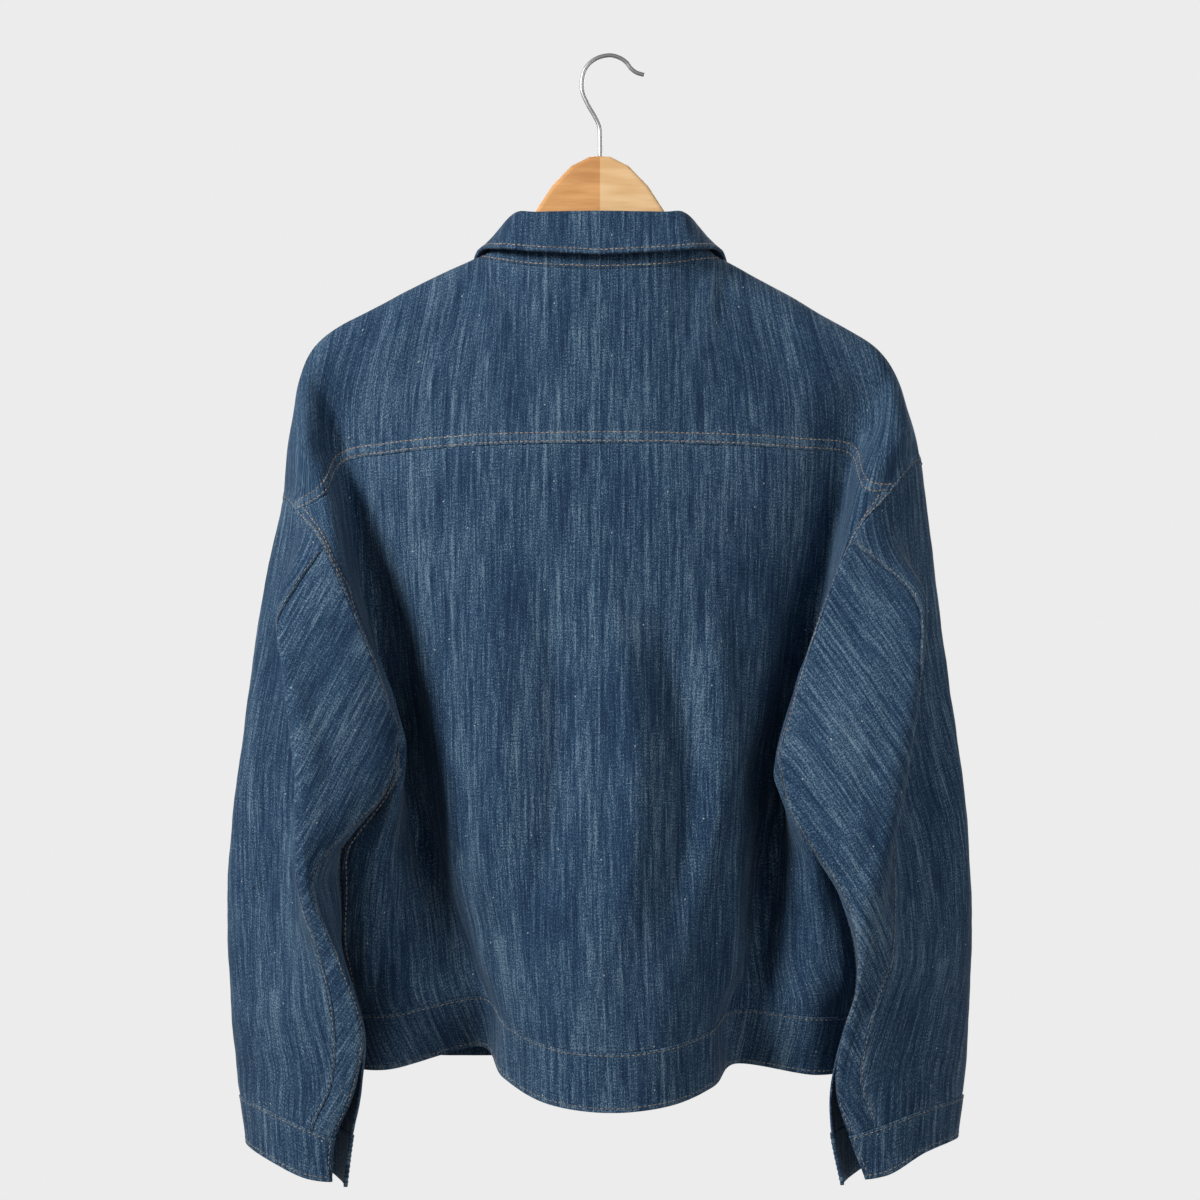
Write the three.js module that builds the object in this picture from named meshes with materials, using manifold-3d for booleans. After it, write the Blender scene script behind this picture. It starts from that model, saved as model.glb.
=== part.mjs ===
// A cropped denim jacket with drop shoulders, buttoned up and hanging on a flat wooden hanger.
// Millimetres, +Z up. The jacket's front faces -Y and its back faces +Y. The origin is the
// inside top of the hanger's hook, where a nail or a rail carries it.
import * as THREE from 'three';
import { mergeVertices } from 'three/addons/utils/BufferGeometryUtils.js';
import Module from 'manifold-3d';

const wasm = await Module();
wasm.setup();

// Driving sizes.
const MIDDLE_X = 7.7;            // the hanger's shank stands this far beside the point that holds it
const CLOTH = 1.2;               // one layer of denim
const BAND = 2.4;                // hem band, cuffs, collar and placket are doubled
const SEAM_INSET = 0.16;         // each piece stops this far short of a flat seam
const SHARPEST_SEAM = 8;         // no piece stops further than this from a seam with a sharp angle
const ROUND_SEAM = 1.35;         // added where a seam's line curves, as chords leave it
const SHOULDER_LAP = 6;          // the yoke reaches this far over the crest to the front
const FRONT_LAP = 18;            // each front passes the centre line by this much
const FRONT_SPLIT = 2.2;         // the fronts stand this far either side of their common surface
const PLACKET_WIDTH = 38;
const WIRE_RADIUS = 1.65;
const WOOD_THICKNESS = 12;
const WOOD_CLEARANCE = 1.9;      // from the yoke's inner surface down to the wood
const BUTTON_RADIUS = 8.5;
const BUTTON_HEIGHT = 4;
const NECK_LEAVE = 90;           // how strongly the cloth leaves the crest, as a spline tangent

const DENIM = 0x2f4f73;
const WOOD = 0xd9a066;
const STEEL = 0xb8bcc0;
const COPPER = 0xa8693e;

const v3 = (p) => new THREE.Vector3(p[0], p[1], p[2]);
const mix = (a, b, f) => a.clone().lerp(b, f);
const smooth = (f) => {
  const g = Math.min(1, Math.max(0, f));
  return g * g * (3 - 2 * g);
};

// The jacket's lines. Every point is [out from the middle, towards the back, up]; the right side's
// "out" is negative. Stations across a row run centre, lobe, turn, valley, ridge, edge.
const BACK_STEPS = [6, 4, 4, 4, 2];      // columns between neighbouring stations
const FRONT_STEPS = [4, 3, 3, 4, 2];
const LOBE_SHARE = 0.45;
const TURN_SHARE = 0.8;
const LOBE_DROP = 0.13;          // how far the back has already sunk towards the valley at the lobe
const TURN_DROP = 0.52;

// The top edge: neckline to the hanger's arm, its tip and the drop shoulder.
const TOP = {
  left: { lobe: [93, 0, -154], turn: [162, 0, -188], valley: [221, 0, -226], ridge: [237, 1, -285] },
  right: { lobe: [-93, 0, -155.5], turn: [-162, 0, -194], valley: [-218, 0, -231], ridge: [-238, 1, -277] },
};
const NECK_BACK = [[0, 38, -167], [48, 34.5, -164.5], [78, 20, -159]];
const NECK_FRONT = [[90, -16, -168], [70, -29, -196], [38, -34, -222], [0, -35, -236]];

// Back rows. down is the cloth's distance below the neck seam; hole is where the row meets the armhole.
const BACK_ROWS = [
  { row: 'yoke seam', down: 130, centre: [0, 50, -300],
    left: { valley: [197, 7, -313], ridge: [209, 44, -340], hole: 2.2 },
    right: { valley: [-191, 7, -307], ridge: [-200, 46, -336], hole: 2.1 } },
  { row: 'armhole', down: 240, centre: [0, 60, -410],
    left: { valley: [177, 5, -416], ridge: [185, 62, -414], hole: 0.68 },
    right: { valley: [-168, 5, -418], ridge: [-172, 56, -410], hole: 0.8 } },
  { row: 'underarm', down: 350, centre: [0, 74, -529],
    left: { valley: [157, 0, -529], ridge: [147, 43, -521], hole: 0 },
    right: { valley: [-144, 2, -548], ridge: [-131, 45, -543], hole: 0 } },
  { row: 'below underarm', down: 388, centre: [0, 80, -566],
    left: { valley: [148, 2, -567], ridge: [152, 48, -563], edge: [164, 40, -563] },
    right: { valley: [-140, 4, -584], ridge: [-145, 52, -581], edge: [-156, 42, -580] } },
  { row: 'waist', down: 432, centre: [0, 88, -609],
    left: { valley: [136, 6, -610], ridge: [166, 50, -612], edge: [192, 38, -614] },
    right: { valley: [-132, 8, -621], ridge: [-162, 50, -619], edge: [-177, 34, -617] } },
  { row: 'low waist', down: 506, centre: [-2, 102, -680],
    left: { valley: [108, 18, -682], ridge: [166, 48, -688], edge: [191, 30, -687] },
    right: { valley: [-120, 18, -688], ridge: [-166, 48, -691], edge: [-197, 30, -689] } },
  { row: 'hem seam', down: 560, centre: [-5, 113, -746],
    left: { valley: [88, 30, -718], ridge: [158, 48, -728], edge: [187, 20, -732] },
    right: { valley: [-100, 36, -727], ridge: [-162, 46, -731], edge: [-191, 20, -733] } },
  { row: 'hem', down: 604, centre: [-6, 119, -788],
    left: { valley: [90, 16, -758], ridge: [160, 42, -771], edge: [188, 15, -774] },
    right: { valley: [-102, 28, -769], ridge: [-162, 42, -775], edge: [-188, 15, -776] } },
];
const FRONT_ROWS = [
  { row: 'chest', down: 130, centre: [0, -34, -300],
    left: { valley: [196, -10, -312], ridge: [218, -26, -345], hole: 3.5 },
    right: { valley: [-190, -10, -306], ridge: [-220, -26, -322], hole: 3.5 } },
  { row: 'armhole', down: 240, centre: [0, -34, -410],
    left: { valley: [176, -22, -416], ridge: [203, -32, -412], hole: 4.4 },
    right: { valley: [-168, -22, -418], ridge: [-203, -32, -408], hole: 4.4 } },
  { row: 'underarm', down: 350, centre: [0, -35, -529],
    left: { valley: [138, -34, -532], ridge: [164, -12, -532], hole: 6 },
    right: { valley: [-130, -34, -540], ridge: [-154, -12, -546], hole: 6 } },
  { row: 'below underarm', down: 388, centre: [0, -36, -566],
    left: { valley: [141, -35, -568], ridge: [168, -14, -568], edge: [164, 40, -563] },
    right: { valley: [-135, -35, -572], ridge: [-162, -14, -582], edge: [-156, 42, -580] } },
  { row: 'waist', down: 432, centre: [0, -36, -609],
    left: { valley: [145, -35, -612], ridge: [178, -16, -615], edge: [192, 38, -614] },
    right: { valley: [-142, -35, -612], ridge: [-175, -16, -617], edge: [-177, 34, -617] } },
  { row: 'low waist', down: 506, centre: [0, -37, -680],
    left: { valley: [145, -36, -686], ridge: [182, -16, -688], edge: [191, 30, -687] },
    right: { valley: [-142, -36, -686], ridge: [-181, -16, -689], edge: [-197, 30, -689] } },
  { row: 'hem seam', down: 560, centre: [0, -37, -730],
    left: { valley: [145, -37, -732], ridge: [183, -18, -732], edge: [187, 20, -732] },
    right: { valley: [-143, -37, -732], ridge: [-183, -18, -732], edge: [-191, 20, -733] } },
  { row: 'hem', down: 604, centre: [0, -37, -775],
    left: { valley: [145, -38, -775], ridge: [184, -19, -774], edge: [188, 15, -774] },
    right: { valley: [-143, -38, -775], ridge: [-184, -19, -774], edge: [-188, 15, -776] } },
];

// Sleeve rings, from the armhole to the cuff's edge. inseam, fold and notch show from the back;
// outer is the silhouette; front and inner are hidden. slit is the inseam's other side where the
// vent is open, and seam is the back seam's place along the ring, in stations.
const RING_STEPS = [7, 3, 4, 3, 4, 4];
const SLEEVES = {
  left: [
    { ring: 'armhole', inseam: [151, 60, -518], fold: [206, 63, -379], notch: [226, 40, -355],
      outer: [243, 5, -341], front: [235, -31, -375], inner: [205, -8, -456], seam: 1 },
    { ring: 'upper arm', inseam: [158, 75, -557], fold: [238, 62, -418], notch: [238, 34, -410],
      outer: [260, 5, -425], front: [255, -35, -457], inner: [212, -8, -526], seam: 0.92 },
    { ring: 'above elbow', inseam: [182, 88, -585], fold: [233, 80, -477], notch: [233, 40, -478],
      outer: [270, 5, -494], front: [260, -36, -528], inner: [213, -10, -572], seam: 1.2 },
    { ring: 'elbow', inseam: [207, 98, -613], fold: [224, 92, -539], notch: [227, 42, -542],
      outer: [278, 8, -560], front: [268, -36, -590], inner: [202, -12, -609], seam: 1.4 },
    { ring: 'below elbow', inseam: [207, 99, -640], fold: [219, 104, -620], notch: [228, 58, -616],
      outer: [283, 10, -621], front: [274, -34, -637], inner: [201, -13, -647], seam: 1.25 },
    { ring: 'forearm', inseam: [187, 100, -689], fold: [204, 96, -680], notch: [231, 64, -676],
      outer: [283, 15, -681], front: [274, -30, -692], inner: [216, 0, -686], seam: 0.95 },
    { ring: 'vent top', inseam: [174, 93, -733], fold: [198, 93, -726], notch: [230, 74, -722],
      outer: [280, 20, -730], front: [271, -22, -737], inner: [214, 8, -736], seam: 0.85 },
    { ring: 'vent', inseam: [181, 90, -778], fold: [204, 89, -770], notch: [233, 74, -766],
      outer: [276, 25, -766], front: [267, -15, -767], inner: [214, 8, -777], slit: [177, 82, -778],
      seam: 0.7 },
    { ring: 'cuff seam', inseam: [195, 87, -813], fold: [213, 86, -807], notch: [238, 72, -799],
      outer: [272, 30, -793], front: [264, -10, -801], inner: [222, 6, -811], slit: [184, 76, -814],
      seam: 0.9 },
    { ring: 'cuff edge', inseam: [198, 86, -845], fold: [215, 86, -843], notch: [240, 72, -835],
      outer: [267, 31, -828], front: [260, -6, -829], inner: [224, 8, -843], slit: [189, 74, -852],
      seam: 0.9 },
  ],
  right: [
    { ring: 'armhole', inseam: [-135, 66, -540], fold: [-188, 60, -374], notch: [-216, 45, -340],
      outer: [-246, 5, -312], front: [-240, -31, -355], inner: [-203, -8, -452], seam: 1 },
    { ring: 'upper arm', inseam: [-142, 80, -574], fold: [-239, 62, -410], notch: [-238, 32, -406],
      outer: [-257, 4, -398], front: [-251, -35, -433], inner: [-210, -8, -526], seam: 0.9 },
    { ring: 'above elbow', inseam: [-160, 90, -605], fold: [-236, 78, -477], notch: [-235, 38, -478],
      outer: [-268, 5, -487], front: [-259, -36, -512], inner: [-212, -10, -579], seam: 0.97 },
    { ring: 'elbow', inseam: [-177, 98, -631], fold: [-224, 90, -553], notch: [-227, 42, -557],
      outer: [-278, 8, -560], front: [-267, -36, -582], inner: [-206, -12, -617], seam: 1.4 },
    { ring: 'below elbow', inseam: [-187, 102, -662], fold: [-209, 98, -617], notch: [-220, 62, -622],
      outer: [-282, 10, -621], front: [-273, -33, -637], inner: [-211, -8, -651], seam: 1.9 },
    { ring: 'forearm', inseam: [-188, 98, -702], fold: [-200, 97, -683], notch: [-224, 74, -680],
      outer: [-283, 15, -681], front: [-274, -30, -692], inner: [-217, 2, -692], seam: 1.6 },
    { ring: 'vent top', inseam: [-178, 92, -738], fold: [-196, 93, -722], notch: [-226, 79, -716],
      outer: [-280, 20, -734], front: [-271, -22, -737], inner: [-212, 8, -737], seam: 1.1 },
    { ring: 'vent', inseam: [-174, 88, -776], fold: [-194, 90, -768], notch: [-229, 76, -760],
      outer: [-277, 25, -768], front: [-268, -15, -767], inner: [-212, 8, -778], slit: [-171, 79, -777],
      seam: 0.85 },
    { ring: 'cuff seam', inseam: [-184, 87, -811], fold: [-204, 87, -805], notch: [-233, 74, -797],
      outer: [-274, 30, -793], front: [-266, -11, -801], inner: [-221, 4, -809], slit: [-172, 76, -812],
      seam: 0.9 },
    { ring: 'cuff edge', inseam: [-196, 86, -843], fold: [-212, 86, -840], notch: [-238, 72, -828],
      outer: [-270, 31, -824], front: [-263, -7, -828], inner: [-224, 5, -840], slit: [-180, 76, -850],
      seam: 0.9 },
  ],
};
const CUFF_RING = 8;             // the ring on which the cuff is sewn
const RINGS_PER_STEP = 2.4;

// Collar sections, from the centre back round to the centre front: the fold that shows as the
// collar's top line, and the fall's free edge.
const COLLAR = [
  { place: 'centre back', fold: [0, 31, -124], edge: [0, 47, -158] },
  { place: 'back', fold: [46, 29, -124.5], edge: [52, 44, -155] },
  { place: 'side back', fold: [64, 22, -124], edge: [76, 35, -152] },
  { place: 'neck point', fold: [77, 4, -137], edge: [94, 2, -151] },
  { place: 'side front', fold: [82, -17, -156], edge: [100, -34, -176] },
  { place: 'front', fold: [67, -34, -186], edge: [88, -47, -222] },
  { place: 'leaf', fold: [38, -41, -213], edge: [64, -49, -262] },
  { place: 'centre front', fold: [9, -42, -229], edge: [36, -50, -286] },
];
const COLLAR_RISE = 1.2;         // from the neck seam up to the collar's lower edge
const SHOULDER_RISE = 1.6;       // and this much more where the seam passes over the shoulder
const COLLAR_ROLL = 2.6;         // half the width of the roll at its fold

// A non-uniform cubic spline through points at the given knots. Its end slopes can be given.
function splineAt(knots, points, t, startSlope, beyond) {
  const last = points.length - 1;
  let k = 0;
  while (k < last - 1 && t > knots[k + 1]) k += 1;
  const slope = (i) => {
    if (i === 0 && startSlope) return startSlope;
    const a = Math.max(0, i - 1);
    const b = Math.min(last, i + 1);
    if (beyond && i === last) {
      return beyond.clone().sub(points[last - 1]).divideScalar(2 * (knots[last] - knots[last - 1]));
    }
    return points[b].clone().sub(points[a]).divideScalar(knots[b] - knots[a]);
  };
  const span = knots[k + 1] - knots[k];
  const f = (t - knots[k]) / span;
  const f2 = f * f;
  const f3 = f2 * f;
  return points[k].clone().multiplyScalar(2 * f3 - 3 * f2 + 1)
    .addScaledVector(slope(k), (f3 - 2 * f2 + f) * span)
    .addScaledVector(points[k + 1], 3 * f2 - 2 * f3)
    .addScaledVector(slope(k + 1), (f3 - f2) * span);
}

// One segment of a centripetal Catmull-Rom curve, from b to c, with neighbours a and d.
function segment(a, b, c, d, f) {
  const gap = (p, q) => Math.max(1e-3, Math.sqrt(p.distanceTo(q)));
  const knots = [0, gap(a, b), gap(a, b) + gap(b, c), gap(a, b) + gap(b, c) + gap(c, d)];
  const t = knots[1] + (knots[2] - knots[1]) * f;
  const blend = (p, q, i, j) => mix(p, q, (t - knots[i]) / (knots[j] - knots[i]));
  const ab = blend(a, b, 0, 1);
  const bc = blend(b, c, 1, 2);
  const cd = blend(c, d, 2, 3);
  return blend(blend(ab, bc, 0, 2), blend(bc, cd, 1, 3), 1, 2);
}

// A point on the open curve through stations, at place c counted in stations.
function along(stations, c, before, after) {
  const last = stations.length - 1;
  const k = Math.min(last - 1, Math.max(0, Math.floor(c)));
  const a = k > 0 ? stations[k - 1] : before ?? stations[0].clone().multiplyScalar(2).sub(stations[1]);
  const d = k + 2 <= last ? stations[k + 2]
    : after ?? stations[last].clone().multiplyScalar(2).sub(stations[last - 1]);
  return segment(a, stations[k], stations[k + 1], d, c - k);
}

// The sleeve's surface: c goes round in stations from the inseam, ring goes down the sleeve.
const RING_NAMES = ['inseam', 'fold', 'notch', 'outer', 'front', 'inner'];
function ringPoint(ring, c) {
  const points = RING_NAMES.map((name) => v3(ring[name]));
  const end = v3(ring.slit ?? ring.inseam);
  return along([...points, end], c, points[5], points[1]);
}

function sleevePoint(side, c, ring) {
  const rings = SLEEVES[side];
  const knots = rings.map((_, i) => i);
  return splineAt(knots, rings.map((r) => ringPoint(r, c)), ring);
}

// The body's rows as station points. hole rows end on the armhole.
function stations(row, side) {
  const here = row[side];
  const centre = v3(row.centre);
  const valley = v3(here.valley);
  const part = (share, drop) => {
    const p = mix(centre, valley, share);
    p.y = centre.y + (valley.y - centre.y) * drop;
    p.z = centre.z + (valley.z - centre.z) * drop;
    return p;
  };
  const edge = here.hole === undefined ? v3(here.edge) : sleevePoint(side, here.hole, 0);
  return [centre, part(LOBE_SHARE, LOBE_DROP), part(TURN_SHARE, TURN_DROP), valley, v3(here.ridge), edge];
}

// The top edge's stations. The neck stretch is the neckline, sampled by columns.
function topPoint(side, c, back) {
  const sign = side === 'left' ? 1 : -1;
  const top = TOP[side];
  if (c <= 1) {
    const neck = (back ? NECK_BACK : [...NECK_FRONT].reverse())
      .map((p) => new THREE.Vector3(sign * p[0], p[1], p[2]));
    const last = neck.length;
    return along([...neck, v3(top.lobe)], c * last);
  }
  const edge = sleevePoint(side, 3, 0);
  return along([v3(top.lobe), v3(top.turn), v3(top.valley), v3(top.ridge), edge], c - 1);
}

// The slope with which the cloth leaves the top edge: over the crest, or straight down at the neck.
function topSlope(side, c, back) {
  const over = new THREE.Vector3(0, back ? NECK_LEAVE : -NECK_LEAVE, 0);
  const down = new THREE.Vector3(0, back ? 12 : -4, -130);
  return mix(down, over, smooth((c - 0.45) / 0.55)).divideScalar(130);
}

// A point of the back or the front: c is the column in stations, down the distance below the top.
function bodyPoint(side, back, c, down) {
  const rows = back ? BACK_ROWS : FRONT_ROWS;
  const facing = back ? FRONT_ROWS : BACK_ROWS;
  const other = side === 'left' ? 'right' : 'left';
  const sampled = rows.map((row, i) => {
    const here = stations(row, side);
    const before = back ? stations(row, other)[1] : undefined;
    const after = row[side].hole === undefined || row.row === 'underarm'
      ? stations(facing[i], side)[4] : undefined;
    return along(here, c, before, after);
  });
  const points = [topPoint(side, c, back), ...sampled];
  const knots = [0, ...rows.map((row) => row.down)];
  const p = splineAt(knots, points, down, topSlope(side, c, back));
  return c > 4 ? toArmhole(p, side, back, c, down) : p;
}

// Pulls the cloth next to the armhole onto the sleeve's first ring.
function toArmhole(p, side, back, c, down) {
  if (down > BACK_ROWS[2].down) return p;
  const wanted = sleevePoint(side, holePlace(side, back, down), 0);
  return p.add(wanted.sub(edgeOf(side, back, down)).multiplyScalar(smooth(c - 4)));
}

// The place on the armhole, in stations of the sleeve's ring, which a row at this depth meets.
function holePlace(side, back, down) {
  const rows = (back ? BACK_ROWS : FRONT_ROWS).slice(0, 3);
  const places = [3, ...rows.map((row) => row[side].hole)].map((h) => new THREE.Vector3(h, 0, 0));
  const place = splineAt([0, ...rows.map((row) => row.down)], places, down).x;
  return Math.min(6, Math.max(0, place));
}

// The depth at which the body meets this place on the armhole.
function holeDown(side, back, place) {
  let low = 0;
  let high = BACK_ROWS[2].down;
  for (let i = 0; i < 24; i += 1) {
    const down = (low + high) / 2;
    if ((holePlace(side, back, down) > place) === back) low = down;
    else high = down;
  }
  return low;
}

function edgeOf(side, back, down) {
  const rows = back ? BACK_ROWS : FRONT_ROWS;
  const points = [topPoint(side, 5, back), ...rows.map((row) => stations(row, side)[5])];
  return splineAt([0, ...rows.map((row) => row.down)], points, down, topSlope(side, 5, back));
}

// Columns across half a row, from the centre to the edge.
function columns(stationSteps) {
  const list = [0];
  stationSteps.forEach((steps, k) => {
    for (let i = 1; i <= steps; i += 1) list.push(k + i / steps);
  });
  return list;
}

const spread = (from, to, steps) =>
  Array.from({ length: steps + 1 }, (_, i) => from + ((to - from) * i) / steps);

// Moves a grid's borders towards their neighbours, to leave a seam's gap. Each border takes one
// distance, or a list of them.
function inset(grid, { first = 0, last = 0, start = 0, end = 0 }) {
  const amount = (d, i) => (Array.isArray(d) ? d[i] : d);
  const pull = (p, q, d) => p.addScaledVector(q.clone().sub(p).normalize(), d);
  const rows = grid.length - 1;
  grid[0].forEach((p, i) => pull(p, grid[1][i], amount(first, i)));
  grid[rows].forEach((p, i) => pull(p, grid[rows - 1][i], amount(last, i)));
  grid.forEach((row, j) => {
    pull(row[0], row[1], amount(start, j));
    pull(row[row.length - 1], row[row.length - 2], amount(end, j));
  });
  return grid;
}

// How far two walls must stop from the line they share, so that they don't run into each other
// on the inside of the angle between them.
function seamInset(at, into, across) {
  const a = into.clone().sub(at).normalize();
  const b = across.clone().sub(at).normalize();
  const half = Math.acos(Math.min(1, Math.max(-1, a.dot(b)))) / 2;
  return Math.min(SHARPEST_SEAM, SEAM_INSET + (CLOTH * 0.56) / Math.tan(Math.max(half, 0.05)));
}

const nextToEdge = 5 - 1 / BACK_STEPS[4];

// The armhole's inset where the body's row at this depth meets the sleeve.
function armholeInset(side, back, down) {
  const edge = bodyPoint(side, back, 5, down);
  const sleeve = sleevePoint(side, holePlace(side, back, down), 1 / RINGS_PER_STEP);
  return seamInset(edge, bodyPoint(side, back, nextToEdge, down), sleeve) + ROUND_SEAM;
}

function sideInset(side, down) {
  const edge = bodyPoint(side, true, 5, down);
  return seamInset(edge, bodyPoint(side, true, nextToEdge, down), bodyPoint(side, false, nextToEdge, down))
    + ROUND_SEAM;
}

const edgeInset = (side, back, down) => (down > BACK_ROWS[2].down
  ? sideInset(side, down) : Math.max(armholeInset(side, back, down),
    down === BACK_ROWS[2].down ? sideInset(side, down) : 0));

function normals(grid) {
  const rows = grid.length - 1;
  return grid.map((row, j) => row.map((p, i) => {
    const across = row[Math.min(row.length - 1, i + 1)].clone().sub(row[Math.max(0, i - 1)]);
    const down = grid[Math.min(rows, j + 1)][i].clone().sub(grid[Math.max(0, j - 1)][i]);
    return across.cross(down).normalize();
  }));
}

const shifted = (grid, distance) => {
  const n = normals(grid);
  return grid.map((row, j) => row.map((p, i) => p.clone().addScaledVector(n[j][i], distance)));
};

// A closed wall of the given thickness around a grid of points on its middle surface.
function wall(grid, thickness) {
  const faces = [shifted(grid, thickness / 2), shifted(grid, -thickness / 2)];
  const rows = grid.length;
  const cols = grid[0].length;
  const position = [];
  faces.forEach((face) => face.forEach((row) => row.forEach((p) => position.push(p.x, p.y, p.z))));
  const at = (face, j, i) => face * rows * cols + j * cols + i;
  const index = [];
  const quad = (a, b, c, d) => index.push(a, b, c, a, c, d);
  for (let j = 0; j < rows - 1; j += 1) {
    for (let i = 0; i < cols - 1; i += 1) {
      quad(at(0, j, i), at(0, j, i + 1), at(0, j + 1, i + 1), at(0, j + 1, i));
      quad(at(1, j, i), at(1, j + 1, i), at(1, j + 1, i + 1), at(1, j, i + 1));
    }
  }
  for (let i = 0; i < cols - 1; i += 1) {
    quad(at(0, 0, i), at(1, 0, i), at(1, 0, i + 1), at(0, 0, i + 1));
    quad(at(0, rows - 1, i), at(0, rows - 1, i + 1), at(1, rows - 1, i + 1), at(1, rows - 1, i));
  }
  for (let j = 0; j < rows - 1; j += 1) {
    quad(at(0, j, 0), at(0, j + 1, 0), at(1, j + 1, 0), at(1, j, 0));
    quad(at(0, j, cols - 1), at(1, j, cols - 1), at(1, j + 1, cols - 1), at(0, j + 1, cols - 1));
  }
  const geometry = new THREE.BufferGeometry();
  geometry.setAttribute('position', new THREE.Float32BufferAttribute(position, 3));
  geometry.setIndex(index);
  return facingOut(geometry);
}

// Turns a closed geometry's faces round if they point inwards.
function facingOut(geometry) {
  const p = geometry.getAttribute('position');
  const index = geometry.getIndex().array;
  const corner = (i) => new THREE.Vector3().fromBufferAttribute(p, index[i]);
  let volume = 0;
  for (let i = 0; i < index.length; i += 3) {
    volume += corner(i).dot(corner(i + 1).cross(corner(i + 2)));
  }
  if (volume < 0) {
    for (let i = 0; i < index.length; i += 3) {
      [index[i + 1], index[i + 2]] = [index[i + 2], index[i + 1]];
    }
  }
  return geometry;
}

const jacket = new THREE.Group();
jacket.position.x = MIDDLE_X;

function add(name, geometry, colour, roughness = 0.9, metalness = 0) {
  const mesh = new THREE.Mesh(geometry, new THREE.MeshStandardMaterial({ color: colour, roughness, metalness }));
  mesh.name = name;
  jacket.add(mesh);
  return mesh;
}

// Both halves of a back row, from the left edge to the right edge.
function backRow(down) {
  const half = columns(BACK_STEPS);
  const left = half.map((c) => bodyPoint('left', true, c, down)).reverse();
  const right = half.slice(1).map((c) => bodyPoint('right', true, c, down));
  return [...left, ...right];
}

const YOKE_DOWN = [0, 2.5, 6, 11, 19, 32, 52, 78, 104, 130];
const PANEL_DOWN = [...spread(130, 350, 8), ...spread(350, 506, 6).slice(1), 533, 560];
const BAND_DOWN = [560, 575, 590, 604];

// The yoke's first row lies a little to the front of the crest, so that the shoulder seam is hidden.
function yoke() {
  const lap = columns(BACK_STEPS).map((c) => [c, SHOULDER_LAP * smooth((c - 0.97) * 12) * smooth((5 - c) * 3)]);
  const first = (side) => lap.map(([c, reach]) => (reach > 0
    ? bodyPoint(side, false, c, reach) : bodyPoint(side, true, c, 0)));
  const rowBefore = [...first('left').reverse(), ...first('right').slice(1)];
  const rows = YOKE_DOWN.slice(1).map(backRow);
  const grid = [rowBefore, ...rows];
  return inset(grid, { first: SEAM_INSET, last: SEAM_INSET, ...backEdges(YOKE_DOWN) });
}

const backEdges = (downs) => ({
  start: downs.map((down) => edgeInset('left', true, down)),
  end: downs.map((down) => edgeInset('right', true, down)),
});

function backPanel() {
  const grid = PANEL_DOWN.map(backRow);
  return inset(grid, { first: SEAM_INSET, last: SEAM_INSET, ...backEdges(PANEL_DOWN) });
}

// One front row from its lapped edge out to the side. The left front lies over the right one.
function frontPoint(side, c, down) {
  const sign = side === 'left' ? 1 : -1;
  const p = bodyPoint(side, false, c, down);
  const near = smooth(1 - (Math.abs(p.x) - FRONT_LAP) / 60);
  p.y -= sign * FRONT_SPLIT * near;
  return p;
}

function frontRow(side, down) {
  const sign = side === 'left' ? 1 : -1;
  const row = columns(FRONT_STEPS).map((c) => frontPoint(side, c, down));
  const lapped = row[0].clone();
  lapped.x -= sign * FRONT_LAP;
  return [lapped, ...row];
}

const FRONT_DOWN = [SHOULDER_LAP, 12, 22, 40, 70, 100, 130, ...spread(130, 350, 7).slice(1),
  ...spread(350, 506, 5).slice(1), 533, 560];

function front(side) {
  const grid = FRONT_DOWN.map((down) => frontRow(side, down));
  const end = FRONT_DOWN.map((down) => edgeInset(side, false, down));
  return inset(grid, { first: 2 * SEAM_INSET, last: SEAM_INSET, end });
}

// The hem band runs in one strip from the under front's lap round the back to the upper one's.
function hemRow(down) {
  const back = backRow(down);
  const left = frontRow('left', down).reverse();
  const right = frontRow('right', down);
  const sideOut = (row) => row.slice(0, -1);
  return [...sideOut(right), ...back.slice().reverse(), ...left.slice(1)];
}

function hemBand() {
  return inset(BAND_DOWN.map(hemRow), { first: 2 * SEAM_INSET });
}

function ringColumns(from, to) {
  const all = [0];
  RING_STEPS.forEach((steps, k) => {
    for (let i = 1; i <= steps; i += 1) all.push(k + i / steps);
  });
  return all.filter((c) => c > from + 1e-6 && c < to - 1e-6);
}

// The back seam's place at a ring, in stations.
function seamPlace(side, ring) {
  const places = SLEEVES[side].map((r) => new THREE.Vector3(r.seam, 0, 0));
  return splineAt(SLEEVES[side].map((_, i) => i), places, ring).x;
}

// The places round a ring of one panel's columns: the under panel runs from the inseam to the
// back seam, the top panel from there round the front to the inseam again.
function panelPlaces(side, ring, under) {
  const seam = seamPlace(side, ring);
  return under ? [0, ...ringColumns(0, 1), 1].map((c) => c * seam)
    : [1, ...ringColumns(1, 6), 6].map((c) => seam + ((c - 1) * (6 - seam)) / 5);
}

function sleevePanel(side, under) {
  const rings = spread(0, CUFF_RING, Math.round(CUFF_RING * RINGS_PER_STEP));
  const grid = rings.map((ring) => panelPlaces(side, ring, under).map((c) => sleevePoint(side, c, ring)));
  const seamAt = (ring, places) => SEAM_INSET + seamInset(...places.map((c) => sleevePoint(side, c, ring)));
  const inseam = rings.map((ring) => seamAt(ring, [0, panelPlaces(side, ring, true)[1],
    panelPlaces(side, ring, false).at(-2)]));
  const backSeam = rings.map((ring) => seamAt(ring, [seamPlace(side, ring),
    panelPlaces(side, ring, true).at(-2), panelPlaces(side, ring, false)[1]]));
  const first = panelPlaces(side, 0, under).map((c) => edgeInset(side, c < 3, holeDown(side, c < 3, c)));
  return inset(grid, { first, last: SEAM_INSET, start: under ? inseam : backSeam, end: under ? backSeam : inseam });
}

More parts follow.
